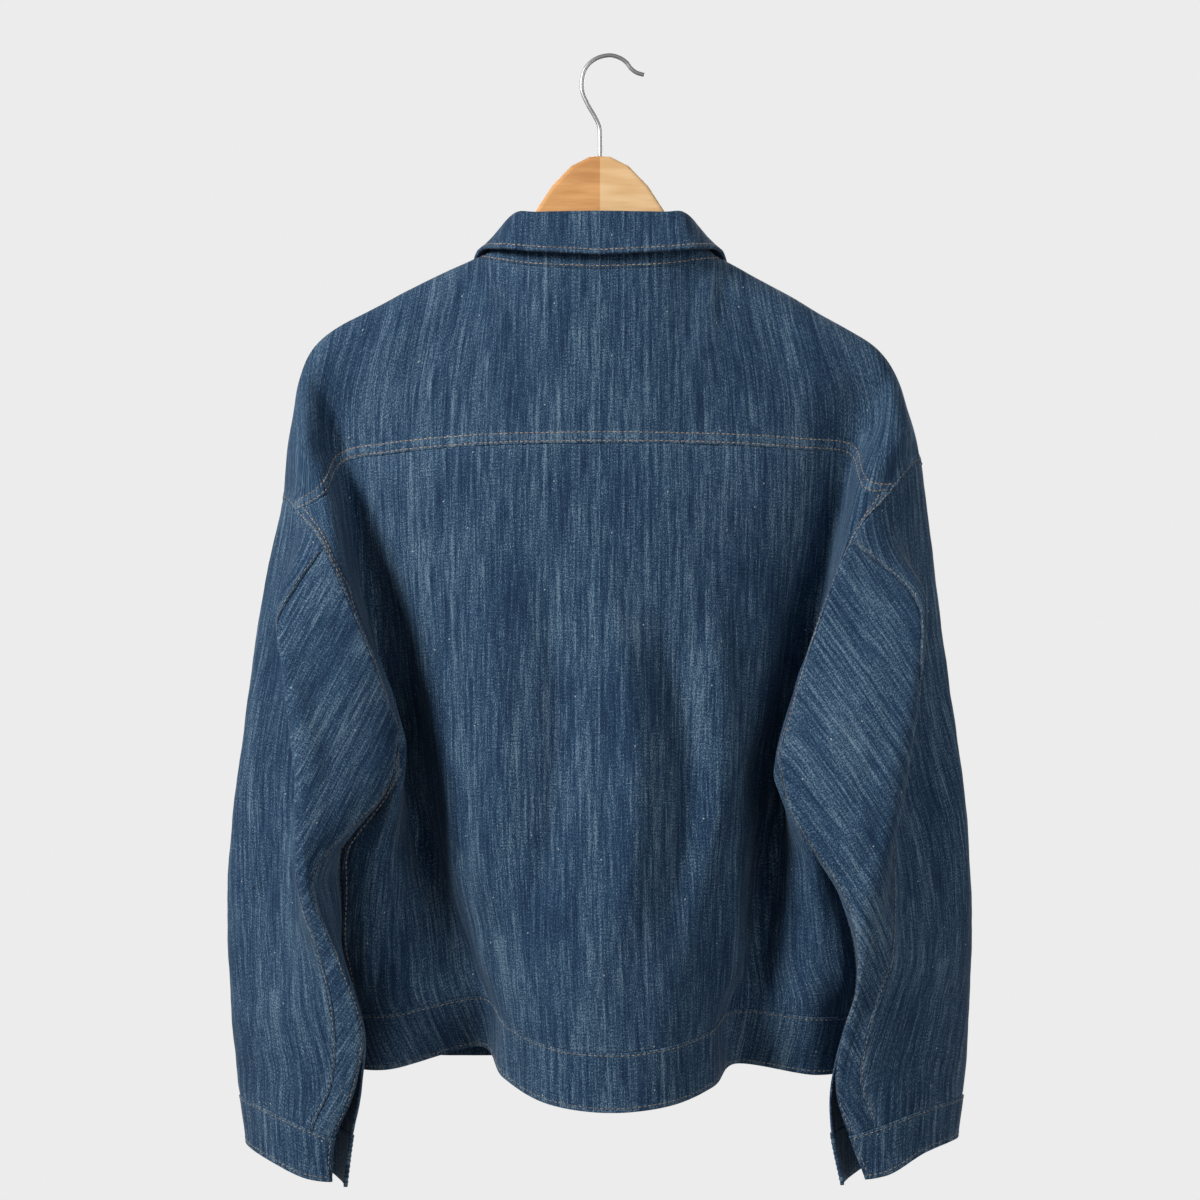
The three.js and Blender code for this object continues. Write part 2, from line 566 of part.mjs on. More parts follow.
function cuff(side) {
  const rings = [CUFF_RING, CUFF_RING + 0.33, CUFF_RING + 0.67, CUFF_RING + 1];
  const grid = rings.map((ring) => [0, ...ringColumns(0, 6), 6].map((c) => sleevePoint(side, c, ring)));
  return inset(grid, { first: SEAM_INSET });
}

// The neck seam, from the centre back (0) past the shoulder (1) to the centre front (2).
function neckline(side, c) {
  return c <= 1 ? topPoint(side, c, true) : topPoint(side, 2 - c, false);
}

// A section of the collar: up the stand, over the roll and down the fall.
function collarSection(side, c) {
  const sign = side === 'left' ? 1 : -1;
  const knots = COLLAR.map((_, i) => i);
  const mirrored = (p) => new THREE.Vector3(sign * p[0], p[1], p[2]);
  const place = (c / 2) * (COLLAR.length - 1);
  const fold = splineAt(knots, COLLAR.map((s) => mirrored(s.fold)), place);
  const edge = splineAt(knots, COLLAR.map((s) => mirrored(s.edge)), place);
  const base = neckline(side, c);
  base.z += COLLAR_RISE + SHOULDER_RISE * smooth(1 - Math.abs(c - 1.08) / 0.3);
  const out = edge.clone().sub(base).setZ(0).normalize();
  const stand = fold.clone().addScaledVector(out, -COLLAR_ROLL).add(new THREE.Vector3(0, 0, -COLLAR_ROLL));
  const fall = fold.clone().addScaledVector(out, COLLAR_ROLL).add(new THREE.Vector3(0, 0, -COLLAR_ROLL));
  const line = [base, mix(base, stand, 0.55), stand, fold, fall, mix(fall, edge, 0.5), edge];
  return spread(0, 6, 12).map((t) => along(line, t));
}

function collar() {
  const end = 1.93;
  const places = spread(0, end, 15);
  const left = places.map((c) => collarSection('left', c)).reverse();
  const right = places.slice(1).map((c) => collarSection('right', c));
  return [...left, ...right];
}

// The placket lies on the left front, made from its points and moved out.
function placket() {
  const downs = [14, 40, 70, 100, 130, ...spread(130, 560, 11).slice(1)];
  const shares = [0, 0.33, 0.67, 1];
  const grid = downs.map((down) => {
    const edge = frontRow('left', down)[0];
    const inner = [0.2, 0.25, 0.3, 0.35].map((c) => frontPoint('left', c, down));
    const width = (p) => p.x - edge.x;
    const target = shares.map((f) => f * PLACKET_WIDTH);
    const line = [edge, frontPoint('left', 0, down), ...inner];
    return target.map((w) => {
      const k = line.findIndex((p, i) => i > 0 && width(p) >= w);
      const a = line[Math.max(0, k - 1)];
      const b = line[k < 0 ? line.length - 1 : k];
      const f = b === a ? 0 : (w - width(a)) / (width(b) - width(a));
      return mix(a, b, Math.min(1, Math.max(0, f)));
    });
  });
  grid.forEach((row) => row.forEach((p) => { p.y -= (CLOTH + BAND) / 2 + 0.3; }));
  return inset(grid, { last: 0.6 });
}

// A tack button: a domed head with its flat back lying on the cloth.
function button(name, cloth, out) {
  const profile = [[0, 0], [BUTTON_RADIUS - 1.2, 0], [BUTTON_RADIUS, 1], [BUTTON_RADIUS - 0.8, BUTTON_HEIGHT - 0.6],
    [BUTTON_RADIUS - 2.6, BUTTON_HEIGHT], [0, BUTTON_HEIGHT - 0.8]].map(([r, h]) => new THREE.Vector2(r, h));
  const mesh = add(name, new THREE.LatheGeometry(profile, 12), COPPER, 0.4, 0.9);
  mesh.quaternion.setFromUnitVectors(new THREE.Vector3(0, 1, 0), out);
  mesh.position.copy(cloth).addScaledVector(out, BAND / 2 + 0.35);
}

const FORWARD = new THREE.Vector3(0, -1, 0);
const BUTTON_ROWS = [1, 4, 7, 10, 13];

function frontButtons(strip) {
  BUTTON_ROWS.forEach((j, i) => button(`front_button_${i + 1}`, mix(strip[j][1], strip[j][2], 0.5), FORWARD));
  button('hem_button', frontPoint('left', 0, 582), FORWARD);
}

// The cuff's button sits on the end that laps under, half way down the band.
function cuffButton(side) {
  const [c, ring, step] = [5.45, CUFF_RING + 0.5, 0.1];
  const around = sleevePoint(side, c + step, ring).sub(sleevePoint(side, c - step, ring));
  const down = sleevePoint(side, c, ring + step).sub(sleevePoint(side, c, ring - step));
  const out = around.cross(down).normalize();
  const middle = sleevePoint(side, 2, ring).lerp(sleevePoint(side, 5, ring), 0.5);
  const place = sleevePoint(side, c, ring);
  if (out.dot(place.clone().sub(middle)) < 0) out.negate();
  button(`${side}_cuff_button`, place, out);
}

// The wooden hanger follows the crest: a dome at the neck and two sloping arms.
function woodTop() {
  const arm = (side, from, to, steps) => spread(from, to, steps).map((c) => {
    const p = topPoint(side, c, true);
    return new THREE.Vector2(p.x, p.z - WOOD_CLEARANCE - CLOTH / 2);
  });
  const dome = [[-80, -159], [-68, -152], [-58, -135], [-49, -118], [-37, -99.5], [-22, -84], [-8, -77],
    [0, -76.4], [8, -77], [22, -84], [37, -99.5], [49, -118], [58, -135], [68, -151],
    [80, -158]].map(([x, z]) => new THREE.Vector2(x, z));
  const right = arm('right', 1.15, 2.86, 6).reverse();
  const left = arm('left', 1.15, 2.86, 6);
  return [...right, ...dome, ...left];
}

function hanger() {
  const bevel = 3;
  const top = woodTop();
  const thick = (x) => 22 + 16 * smooth(1 - Math.abs(x) / 200);
  const tipLow = (p, inwards) => new THREE.Vector2(p.x + inwards, p.y - 20);
  const first = tipLow(top[0], 2);
  const last = tipLow(top[top.length - 1], -2);
  const under = top.filter((p) => Math.abs(p.x) > 85 && Math.abs(p.x) < 205)
    .map((p) => new THREE.Vector2(p.x, p.y - thick(p.x))).reverse();
  const middle = [[50, -168], [0, -150], [-50, -168]].map(([x, z]) => new THREE.Vector2(x, z));
  const half = under.length / 2;
  const outline = [...top, last, ...under.slice(0, half), ...middle, ...under.slice(half), first];
  const shape = new THREE.Shape(outline);
  const body = new THREE.ExtrudeGeometry(shape, { depth: WOOD_THICKNESS - 2 * bevel, bevelEnabled: true,
    bevelSize: bevel, bevelOffset: -bevel, bevelThickness: bevel, bevelSegments: 3, curveSegments: 4 });
  body.translate(0, 0, -(WOOD_THICKNESS - 2 * bevel) / 2);
  body.rotateX(Math.PI / 2);
  const bore = new THREE.CylinderGeometry(WIRE_RADIUS + 0.3, WIRE_RADIUS + 0.3, 30, 16);
  bore.rotateX(Math.PI / 2);
  bore.translate(0, 0, -76.4);
  return subtract(body, bore);
}

function solid(geometry) {
  const bare = geometry.clone();
  ['normal', 'uv'].forEach((name) => bare.deleteAttribute(name));
  const merged = mergeVertices(bare, 1e-4);
  return new wasm.Manifold(new wasm.Mesh({
    numProp: 3, vertProperties: merged.getAttribute('position').array, triVerts: new Uint32Array(merged.getIndex().array),
  }));
}

function subtract(body, tool) {
  const mesh = solid(body).subtract(solid(tool)).getMesh();
  const geometry = new THREE.BufferGeometry();
  geometry.setAttribute('position', new THREE.BufferAttribute(mesh.vertProperties, 3));
  geometry.setIndex(new THREE.BufferAttribute(mesh.triVerts, 1));
  return geometry;
}

// The hook's wire: [sideways from the shank, up].
const HOOK = [[0, -90], [0, -62], [0.6, -53], [4, -45.5], [9.5, -36], [13.6, -26], [13.9, -18], [12, -10],
  [7.5, -4], [1, 0], [-7.7, WIRE_RADIUS], [-15, -0.2], [-20.5, -4], [-24, -8.6], [-28, -11.6], [-34, -13.5]];

function hook() {
  const path = new THREE.CatmullRomCurve3(HOOK.map(([x, z]) => new THREE.Vector3(x, 0, z)), false, 'centripetal');
  const ring = new THREE.Shape();
  ring.absarc(0, 0, WIRE_RADIUS, 0, 2 * Math.PI);
  return new THREE.ExtrudeGeometry(ring, { steps: 34, curveSegments: 4, extrudePath: path });
}

add('back_yoke', wall(yoke(), CLOTH), DENIM);
add('back_panel', wall(backPanel(), CLOTH), DENIM);
add('left_front', wall(front('left'), CLOTH), DENIM);
add('right_front', wall(front('right'), CLOTH), DENIM);
add('hem_band', wall(hemBand(), BAND), DENIM);
add('collar', wall(collar(), BAND), DENIM);
for (const side of ['left', 'right']) {
  add(`${side}_sleeve_under`, wall(sleevePanel(side, true), CLOTH), DENIM);
  add(`${side}_sleeve_top`, wall(sleevePanel(side, false), CLOTH), DENIM);
  add(`${side}_cuff`, wall(cuff(side), BAND), DENIM);
  cuffButton(side);
}
const strip = placket();
add('front_placket', wall(strip, BAND), DENIM);
frontButtons(strip);
add('hanger_wood', hanger(), WOOD, 0.5);
add('hanger_hook', hook(), STEEL, 0.25, 1);

export default jacket;
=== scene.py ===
# The denim jacket on its hanger, dressed for the picture. Lengths are in millimetres in the
# tables and turned into metres where a mesh is made. X is out to the wearer's left, Y is out of
# the back, and Z is up, all counted from the hanger's middle line.
import math
import bpy
import numpy as np
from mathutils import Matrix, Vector


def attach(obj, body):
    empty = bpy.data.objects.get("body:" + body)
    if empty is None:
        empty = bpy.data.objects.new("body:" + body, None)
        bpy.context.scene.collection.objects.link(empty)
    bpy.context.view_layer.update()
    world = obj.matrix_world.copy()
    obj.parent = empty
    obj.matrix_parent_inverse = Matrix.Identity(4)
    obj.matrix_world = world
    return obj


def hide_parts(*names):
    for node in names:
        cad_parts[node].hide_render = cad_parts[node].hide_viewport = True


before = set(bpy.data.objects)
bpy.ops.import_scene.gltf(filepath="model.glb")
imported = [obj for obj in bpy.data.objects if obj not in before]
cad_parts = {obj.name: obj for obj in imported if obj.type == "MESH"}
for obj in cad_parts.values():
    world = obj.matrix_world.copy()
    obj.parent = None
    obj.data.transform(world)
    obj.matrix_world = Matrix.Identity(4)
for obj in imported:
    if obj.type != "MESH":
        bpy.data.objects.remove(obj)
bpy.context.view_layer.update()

MM = 0.001
MIDDLE_X = 7.7
CLOTH = 1.3
BAND = 2.6
SHOULDER_LAP = 6.0
FRONT_LAP = 18.0
FRONT_SPLIT = 2.2
PLACKET_WIDTH = 38.0
WIRE_RADIUS = 1.65
NECK_LEAVE = 90.0
COLLAR_ROLL = 2.6
YOKE_SEAM = 130.0
HEM_SEAM = 560.0
HEM = 604.0
PLACKET_TOP = 14.0
STITCH = 3.0
STITCH_GAP = 0.9
THREAD = 0.46

rng = np.random.default_rng(7)

# The jacket's lines, as the solids have them: stations across a row run centre, lobe, turn,
# valley, ridge, edge.
LOBE_SHARE, TURN_SHARE = 0.45, 0.8
LOBE_DROP, TURN_DROP = 0.13, 0.52
TOP = {
    "left": {"lobe": (93, 0, -154), "turn": (162, 0, -188), "valley": (221, 0, -226),
             "ridge": (237, 1, -285)},
    "right": {"lobe": (-93, 0, -155.5), "turn": (-162, 0, -194), "valley": (-218, 0, -231),
              "ridge": (-238, 1, -277)},
}
NECK_BACK = [(0, 38, -167), (48, 34.5, -164.5), (78, 20, -159)]
NECK_FRONT = [(90, -16, -168), (70, -29, -196), (38, -34, -222), (0, -35, -236)]
# name, depth, centre, then for each side: valley, ridge, and the edge or the place on the armhole
BACK_ROWS = [
    ("yoke seam", YOKE_SEAM, (0, 50, -300), ((197, 7, -313), (209, 44, -340), 2.2),
     ((-191, 7, -307), (-200, 46, -336), 2.1)),
    ("armhole", 240, (0, 60, -410), ((177, 5, -416), (185, 62, -414), 0.68),
     ((-168, 5, -418), (-172, 56, -410), 0.8)),
    ("underarm", 350, (0, 74, -529), ((157, 0, -529), (147, 43, -521), 0.0),
     ((-144, 2, -548), (-131, 45, -543), 0.0)),
    ("below underarm", 388, (0, 80, -566), ((148, 2, -567), (152, 48, -563), (164, 40, -563)),
     ((-140, 4, -584), (-145, 52, -581), (-156, 42, -580))),
    ("waist", 432, (0, 88, -609), ((136, 6, -610), (166, 50, -612), (192, 38, -614)),
     ((-132, 8, -621), (-162, 50, -619), (-177, 34, -617))),
    ("low waist", 506, (-2, 102, -680), ((108, 18, -682), (166, 48, -688), (191, 30, -687)),
     ((-120, 18, -688), (-166, 48, -691), (-197, 30, -689))),
    ("hem seam", HEM_SEAM, (-5, 113, -746), ((88, 30, -718), (158, 48, -728), (187, 20, -732)),
     ((-100, 36, -727), (-162, 46, -731), (-191, 20, -733))),
    ("hem", HEM, (-6, 119, -788), ((90, 16, -758), (160, 42, -771), (188, 15, -774)),
     ((-102, 28, -769), (-162, 42, -775), (-188, 15, -776))),
]
FRONT_ROWS = [
    ("chest", YOKE_SEAM, (0, -34, -300), ((196, -10, -312), (218, -26, -345), 3.5),
     ((-190, -10, -306), (-220, -26, -322), 3.5)),
    ("armhole", 240, (0, -34, -410), ((176, -22, -416), (203, -32, -412), 4.4),
     ((-168, -22, -418), (-203, -32, -408), 4.4)),
    ("underarm", 350, (0, -35, -529), ((138, -34, -532), (164, -12, -532), 6.0),
     ((-130, -34, -540), (-154, -12, -546), 6.0)),
    ("below underarm", 388, (0, -36, -566), ((141, -35, -568), (168, -14, -568), (164, 40, -563)),
     ((-135, -35, -572), (-162, -14, -582), (-156, 42, -580))),
    ("waist", 432, (0, -36, -609), ((145, -35, -612), (178, -16, -615), (192, 38, -614)),
     ((-142, -35, -612), (-175, -16, -617), (-177, 34, -617))),
    ("low waist", 506, (0, -37, -680), ((145, -36, -686), (182, -16, -688), (191, 30, -687)),
     ((-142, -36, -686), (-181, -16, -689), (-197, 30, -689))),
    ("hem seam", HEM_SEAM, (0, -37, -730), ((145, -37, -732), (183, -18, -732), (187, 20, -732)),
     ((-143, -37, -732), (-183, -18, -732), (-191, 20, -733))),
    ("hem", HEM, (0, -37, -775), ((145, -38, -775), (184, -19, -774), (188, 15, -774)),
     ((-143, -38, -775), (-184, -19, -774), (-188, 15, -776))),
]
UNDERARM = 350.0
# The rows down to the underarm end on the sleeve. From the underarm on, front and back share an edge.
ARMHOLE_ROWS = 3
# the place of a row's edge, counted in stations
EDGE = 5
# ring: inseam, fold, notch, outer, front, inner, the slit's far side or None, the back seam's place
SLEEVES = {
    "left": [
        ((151, 60, -518), (206, 63, -379), (226, 40, -355), (243, 5, -341), (235, -31, -375),
         (205, -8, -456), None, 1),
        ((158, 75, -557), (238, 62, -418), (238, 34, -410), (260, 5, -425), (255, -35, -457),
         (212, -8, -526), None, 0.92),
        ((182, 88, -585), (233, 80, -477), (233, 40, -478), (270, 5, -494), (260, -36, -528),
         (213, -10, -572), None, 1.2),
        ((207, 98, -613), (224, 92, -539), (227, 42, -542), (278, 8, -560), (268, -36, -590),
         (202, -12, -609), None, 1.4),
        ((207, 99, -640), (219, 104, -620), (228, 58, -616), (283, 10, -621), (274, -34, -637),
         (201, -13, -647), None, 1.25),
        ((187, 100, -689), (204, 96, -680), (231, 64, -676), (283, 15, -681), (274, -30, -692),
         (216, 0, -686), None, 0.95),
        ((174, 93, -733), (198, 93, -726), (230, 74, -722), (280, 20, -730), (271, -22, -737),
         (214, 8, -736), None, 0.85),
        ((181, 90, -778), (204, 89, -770), (233, 74, -766), (276, 25, -766), (267, -15, -767), (214, 8, -777),
         (177, 82, -778), 0.7),
        ((195, 87, -813), (213, 86, -807), (238, 72, -799), (272, 30, -793), (264, -10, -801), (222, 6, -811),
         (184, 76, -814), 0.9),
        ((198, 86, -845), (215, 86, -843), (240, 72, -835), (267, 31, -828), (260, -6, -829), (224, 8, -843),
         (189, 74, -852), 0.9),
    ],
    "right": [
        ((-135, 66, -540), (-188, 60, -374), (-216, 45, -340), (-246, 5, -312), (-240, -31, -355),
         (-203, -8, -452), None, 1),
        ((-142, 80, -574), (-239, 62, -410), (-238, 32, -406), (-257, 4, -398), (-251, -35, -433),
         (-210, -8, -526), None, 0.9),
        ((-160, 90, -605), (-236, 78, -477), (-235, 38, -478), (-268, 5, -487), (-259, -36, -512),
         (-212, -10, -579), None, 0.97),
        ((-177, 98, -631), (-224, 90, -553), (-227, 42, -557), (-278, 8, -560), (-267, -36, -582),
         (-206, -12, -617), None, 1.4),
        ((-187, 102, -662), (-209, 98, -617), (-220, 62, -622), (-282, 10, -621), (-273, -33, -637),
         (-211, -8, -651), None, 1.9),
        ((-188, 98, -702), (-200, 97, -683), (-224, 74, -680), (-283, 15, -681), (-274, -30, -692),
         (-217, 2, -692), None, 1.6),
        ((-178, 92, -738), (-196, 93, -722), (-226, 79, -716), (-280, 20, -734), (-271, -22, -737),
         (-212, 8, -737), None, 1.1),
        ((-174, 88, -776), (-194, 90, -768), (-229, 76, -760), (-277, 25, -768),
         (-268, -15, -767), (-212, 8, -778),
         (-171, 79, -777), 0.85),
        ((-184, 87, -811), (-204, 87, -805), (-233, 74, -797), (-274, 30, -793),
         (-266, -11, -801), (-221, 4, -809),
         (-172, 76, -812), 0.9),
        ((-196, 86, -843), (-212, 86, -840), (-238, 72, -828), (-270, 31, -824),
         (-263, -7, -828), (-224, 5, -840),
         (-180, 76, -850), 0.9),
    ],
}
CUFF_RING = 8.0
# side, height, reach and size of the places where the body's side swells out against the sleeve
SIDE_SWELLS = (("left", -604, 22, 5.2), ("left", -676, 24, 4.6), ("right", -722, 16, 2.4))
COLLAR = [
    ((0, 31, -124), (0, 47, -158)), ((46, 29, -124.5), (52, 44, -155)), ((64, 22, -124), (76, 35, -152)),
    ((77, 4, -137), (94, 2, -151)), ((82, -17, -156), (100, -34, -176)), ((67, -34, -186), (88, -47, -222)),
    ((38, -41, -213), (64, -49, -262)), ((9, -42, -229), (36, -50, -286)),
]


def smooth(f):
    g = np.clip(f, 0.0, 1.0)
    return g * g * (3 - 2 * g)


def bell(d, width):
    return np.exp(-((d / width) ** 2))


# A centripetal Catmull-Rom curve through stations, sampled at places counted in stations.
def along(points, places, before=None, after=None):
    p = np.asarray(points, float)
    first = 2 * p[0] - p[1] if before is None else np.asarray(before, float)
    last = 2 * p[-1] - p[-2] if after is None else np.asarray(after, float)
    q = np.vstack([first, p, last])
    c = np.asarray(places, float)
    k = np.clip(np.floor(c).astype(int), 0, len(p) - 2)
    a, b, d, e = q[k], q[k + 1], q[k + 2], q[k + 3]
    gap = lambda u, v: np.maximum(1e-3, np.sqrt(np.linalg.norm(u - v, axis=-1, keepdims=True)))
    t0 = np.zeros(c.shape + (1,))
    t1 = t0 + gap(a, b)
    t2 = t1 + gap(b, d)
    t3 = t2 + gap(d, e)
    t = t1 + (t2 - t1) * (c - k)[..., None]
    mix = lambda u, v, lo, hi: u + (v - u) * (t - lo) / (hi - lo)
    ab, bd, de = mix(a, b, t0, t1), mix(b, d, t1, t2), mix(d, e, t2, t3)
    return mix(mix(ab, bd, t0, t2), mix(bd, de, t1, t3), t1, t2)


# A cubic spline down through rows that are already sampled at the same places.
def down_rows(knots, rows, t, start=None):
    p = np.stack(rows)
    knots = np.asarray(knots, float)
    last = len(knots) - 1
    slopes = np.empty_like(p)
    for i in range(last + 1):
        a, b = max(0, i - 1), min(last, i + 1)
        slopes[i] = (p[b] - p[a]) / (knots[b] - knots[a])
    if start is not None:
        slopes[0] = start
    k = np.clip(np.searchsorted(knots, t, side="right") - 1, 0, last - 1)
    index = np.arange(len(t))
    span = (knots[k + 1] - knots[k])[:, None]
    f = ((t - knots[k]) / (knots[k + 1] - knots[k]))[:, None]
    f2, f3 = f * f, f * f * f
    return (p[k, index] * (2 * f3 - 3 * f2 + 1) + slopes[k, index] * (f3 - 2 * f2 + f) * span
            + p[k + 1, index] * (3 * f2 - 2 * f3) + slopes[k + 1, index] * (f3 - f2) * span)


def ring_points(row, c):
    points = list(row[:6]) + [row[6] or row[0]]
    return along(points, c, points[5], points[1])


def sleeve(side, c, ring):
    c, ring = np.broadcast_arrays(np.asarray(c, float), np.asarray(ring, float))
    shape = c.shape
    rows = [ring_points(row, c.ravel()) for row in SLEEVES[side]]
    return down_rows(range(len(rows)), rows, ring.ravel()).reshape(shape + (3,))


def scalar_rows(knots, values, t):
    rows = [np.full((np.size(t), 1), float(v)) for v in values]
    return down_rows(knots, rows, np.ravel(np.asarray(t, float)))[:, 0].reshape(np.shape(t))


def pick(row, side):
    return row[3] if side == "left" else row[4]


def stations(row, side):
    valley, ridge, edge = pick(row, side)
    centre, valley = np.array(row[2], float), np.array(valley, float)
    out = [centre]
    for share, drop in ((LOBE_SHARE, LOBE_DROP), (TURN_SHARE, TURN_DROP)):
        p = centre + (valley - centre) * share
        p[1:] = centre[1:] + (valley[1:] - centre[1:]) * drop
        out.append(p)
    end = sleeve(side, edge, 0.0) if isinstance(edge, float) else np.array(edge, float)
    return out + [valley, np.array(ridge, float), end]


def top_points(side, c, back):
    sign = 1 if side == "left" else -1
    top = TOP[side]
    neck = NECK_BACK if back else NECK_FRONT[::-1]
    neck = [(sign * x, y, z) for x, y, z in neck] + [top["lobe"]]
    arm = [top["lobe"], top["turn"], top["valley"], top["ridge"], sleeve(side, 3.0, 0.0)]
    inner = along(neck, np.minimum(c, 1) * (len(neck) - 1))
    outer = along(arm, np.maximum(c - 1, 0))
    return np.where((c <= 1)[:, None], inner, outer)


def top_slope(c, back):
    over = np.array([0, NECK_LEAVE if back else -NECK_LEAVE, 0.0])
    down = np.array([0, 12.0 if back else -4.0, -YOKE_SEAM])
    f = smooth((c - 0.45) / 0.55)[:, None]
    return (down + (over - down) * f) / YOKE_SEAM


def hole_place(side, back, down):
    rows = (BACK_ROWS if back else FRONT_ROWS)[:ARMHOLE_ROWS]
    knots = [0] + [row[1] for row in rows]
    return np.clip(scalar_rows(knots, [3.0] + [pick(row, side)[2] for row in rows], down), 0, 6)


def body(side, back, c, down):
    c, down = np.broadcast_arrays(np.asarray(c, float), np.asarray(down, float))
    shape = c.shape
    c, down = c.ravel(), down.ravel()
    rows = BACK_ROWS if back else FRONT_ROWS
    facing = FRONT_ROWS if back else BACK_ROWS
    other = "right" if side == "left" else "left"
    sampled = []
    edges = []
    for i, row in enumerate(rows):
        here = stations(row, side)
        before = stations(row, other)[1] if back else None
        closed = i >= ARMHOLE_ROWS - 1
        after = stations(facing[i], side)[4] if closed else None
        sampled.append(along(here, c, before, after))
        edges.append(np.repeat(here[EDGE][None], len(c), 0))
    knots = [0] + [row[1] for row in rows]
    top = top_points(side, c, back)
    p = down_rows(knots, [top] + sampled, down, top_slope(c, back))
    edge_c = np.full(len(c), float(EDGE))
    top_edge = top_points(side, edge_c, back)
    edge = down_rows(knots, [top_edge] + edges, down, top_slope(edge_c, back))
    wanted = sleeve(side, hole_place(side, back, down), 0.0)
    pull = smooth(c - 4) * (down <= UNDERARM)
    p = p + (wanted - edge) * pull[:, None]
    at_edge = smooth((c - 4.2) / 0.8) * (down > UNDERARM)
    for name, level, reach, swell in SIDE_SWELLS:
        if name == side:
            p[:, 0] += np.sign(p[:, 0]) * swell * bell(p[:, 2] - level, reach) * at_edge
    return p.reshape(shape + (3,))


# Sample places that are close together near both ends, where seams and stitches lie.
def graded(low, high, steps, ends=(0.0, 0.0), fine=6):
    t = np.linspace(low, high, steps)
    extra = []
    for at, size, sign in ((low, ends[0], 1), (high, ends[1], -1)):
        if size:
            extra.append(at + sign * np.linspace(0, size, fine + 1))
    return np.unique(np.round(np.concatenate([t] + extra), 5))


def lengths(grid, axis):
    step = np.linalg.norm(np.diff(grid, axis=axis), axis=-1)
    zero = np.zeros_like(np.take(step, [0], axis=axis))
    return np.cumsum(np.concatenate([zero, step], axis=axis), axis=axis)


def normals(grid, outward):
    n = np.cross(np.gradient(grid, axis=1), np.gradient(grid, axis=0))
    n /= np.maximum(np.linalg.norm(n, axis=-1, keepdims=True), 1e-9)
    return n * outward(grid, n)


def facing_y(sign):
    return lambda grid, n: sign * (1.0 if n[..., 1].mean() > 0 else -1.0)


# Smooth random waves over the cloth, as sums of a few sines with made-up directions.
def waves(u, v, size, seed):
    r = np.random.default_rng(seed)
    out = np.zeros_like(u)
    for _ in range(7):
        angle, phase = r.uniform(0, math.pi), r.uniform(0, 2 * math.pi)
        length = size * r.uniform(0.6, 1.7)
        out += np.sin((u * math.cos(angle) + v * math.sin(angle)) * 2 * math.pi / length + phase)
    return out / 3.5


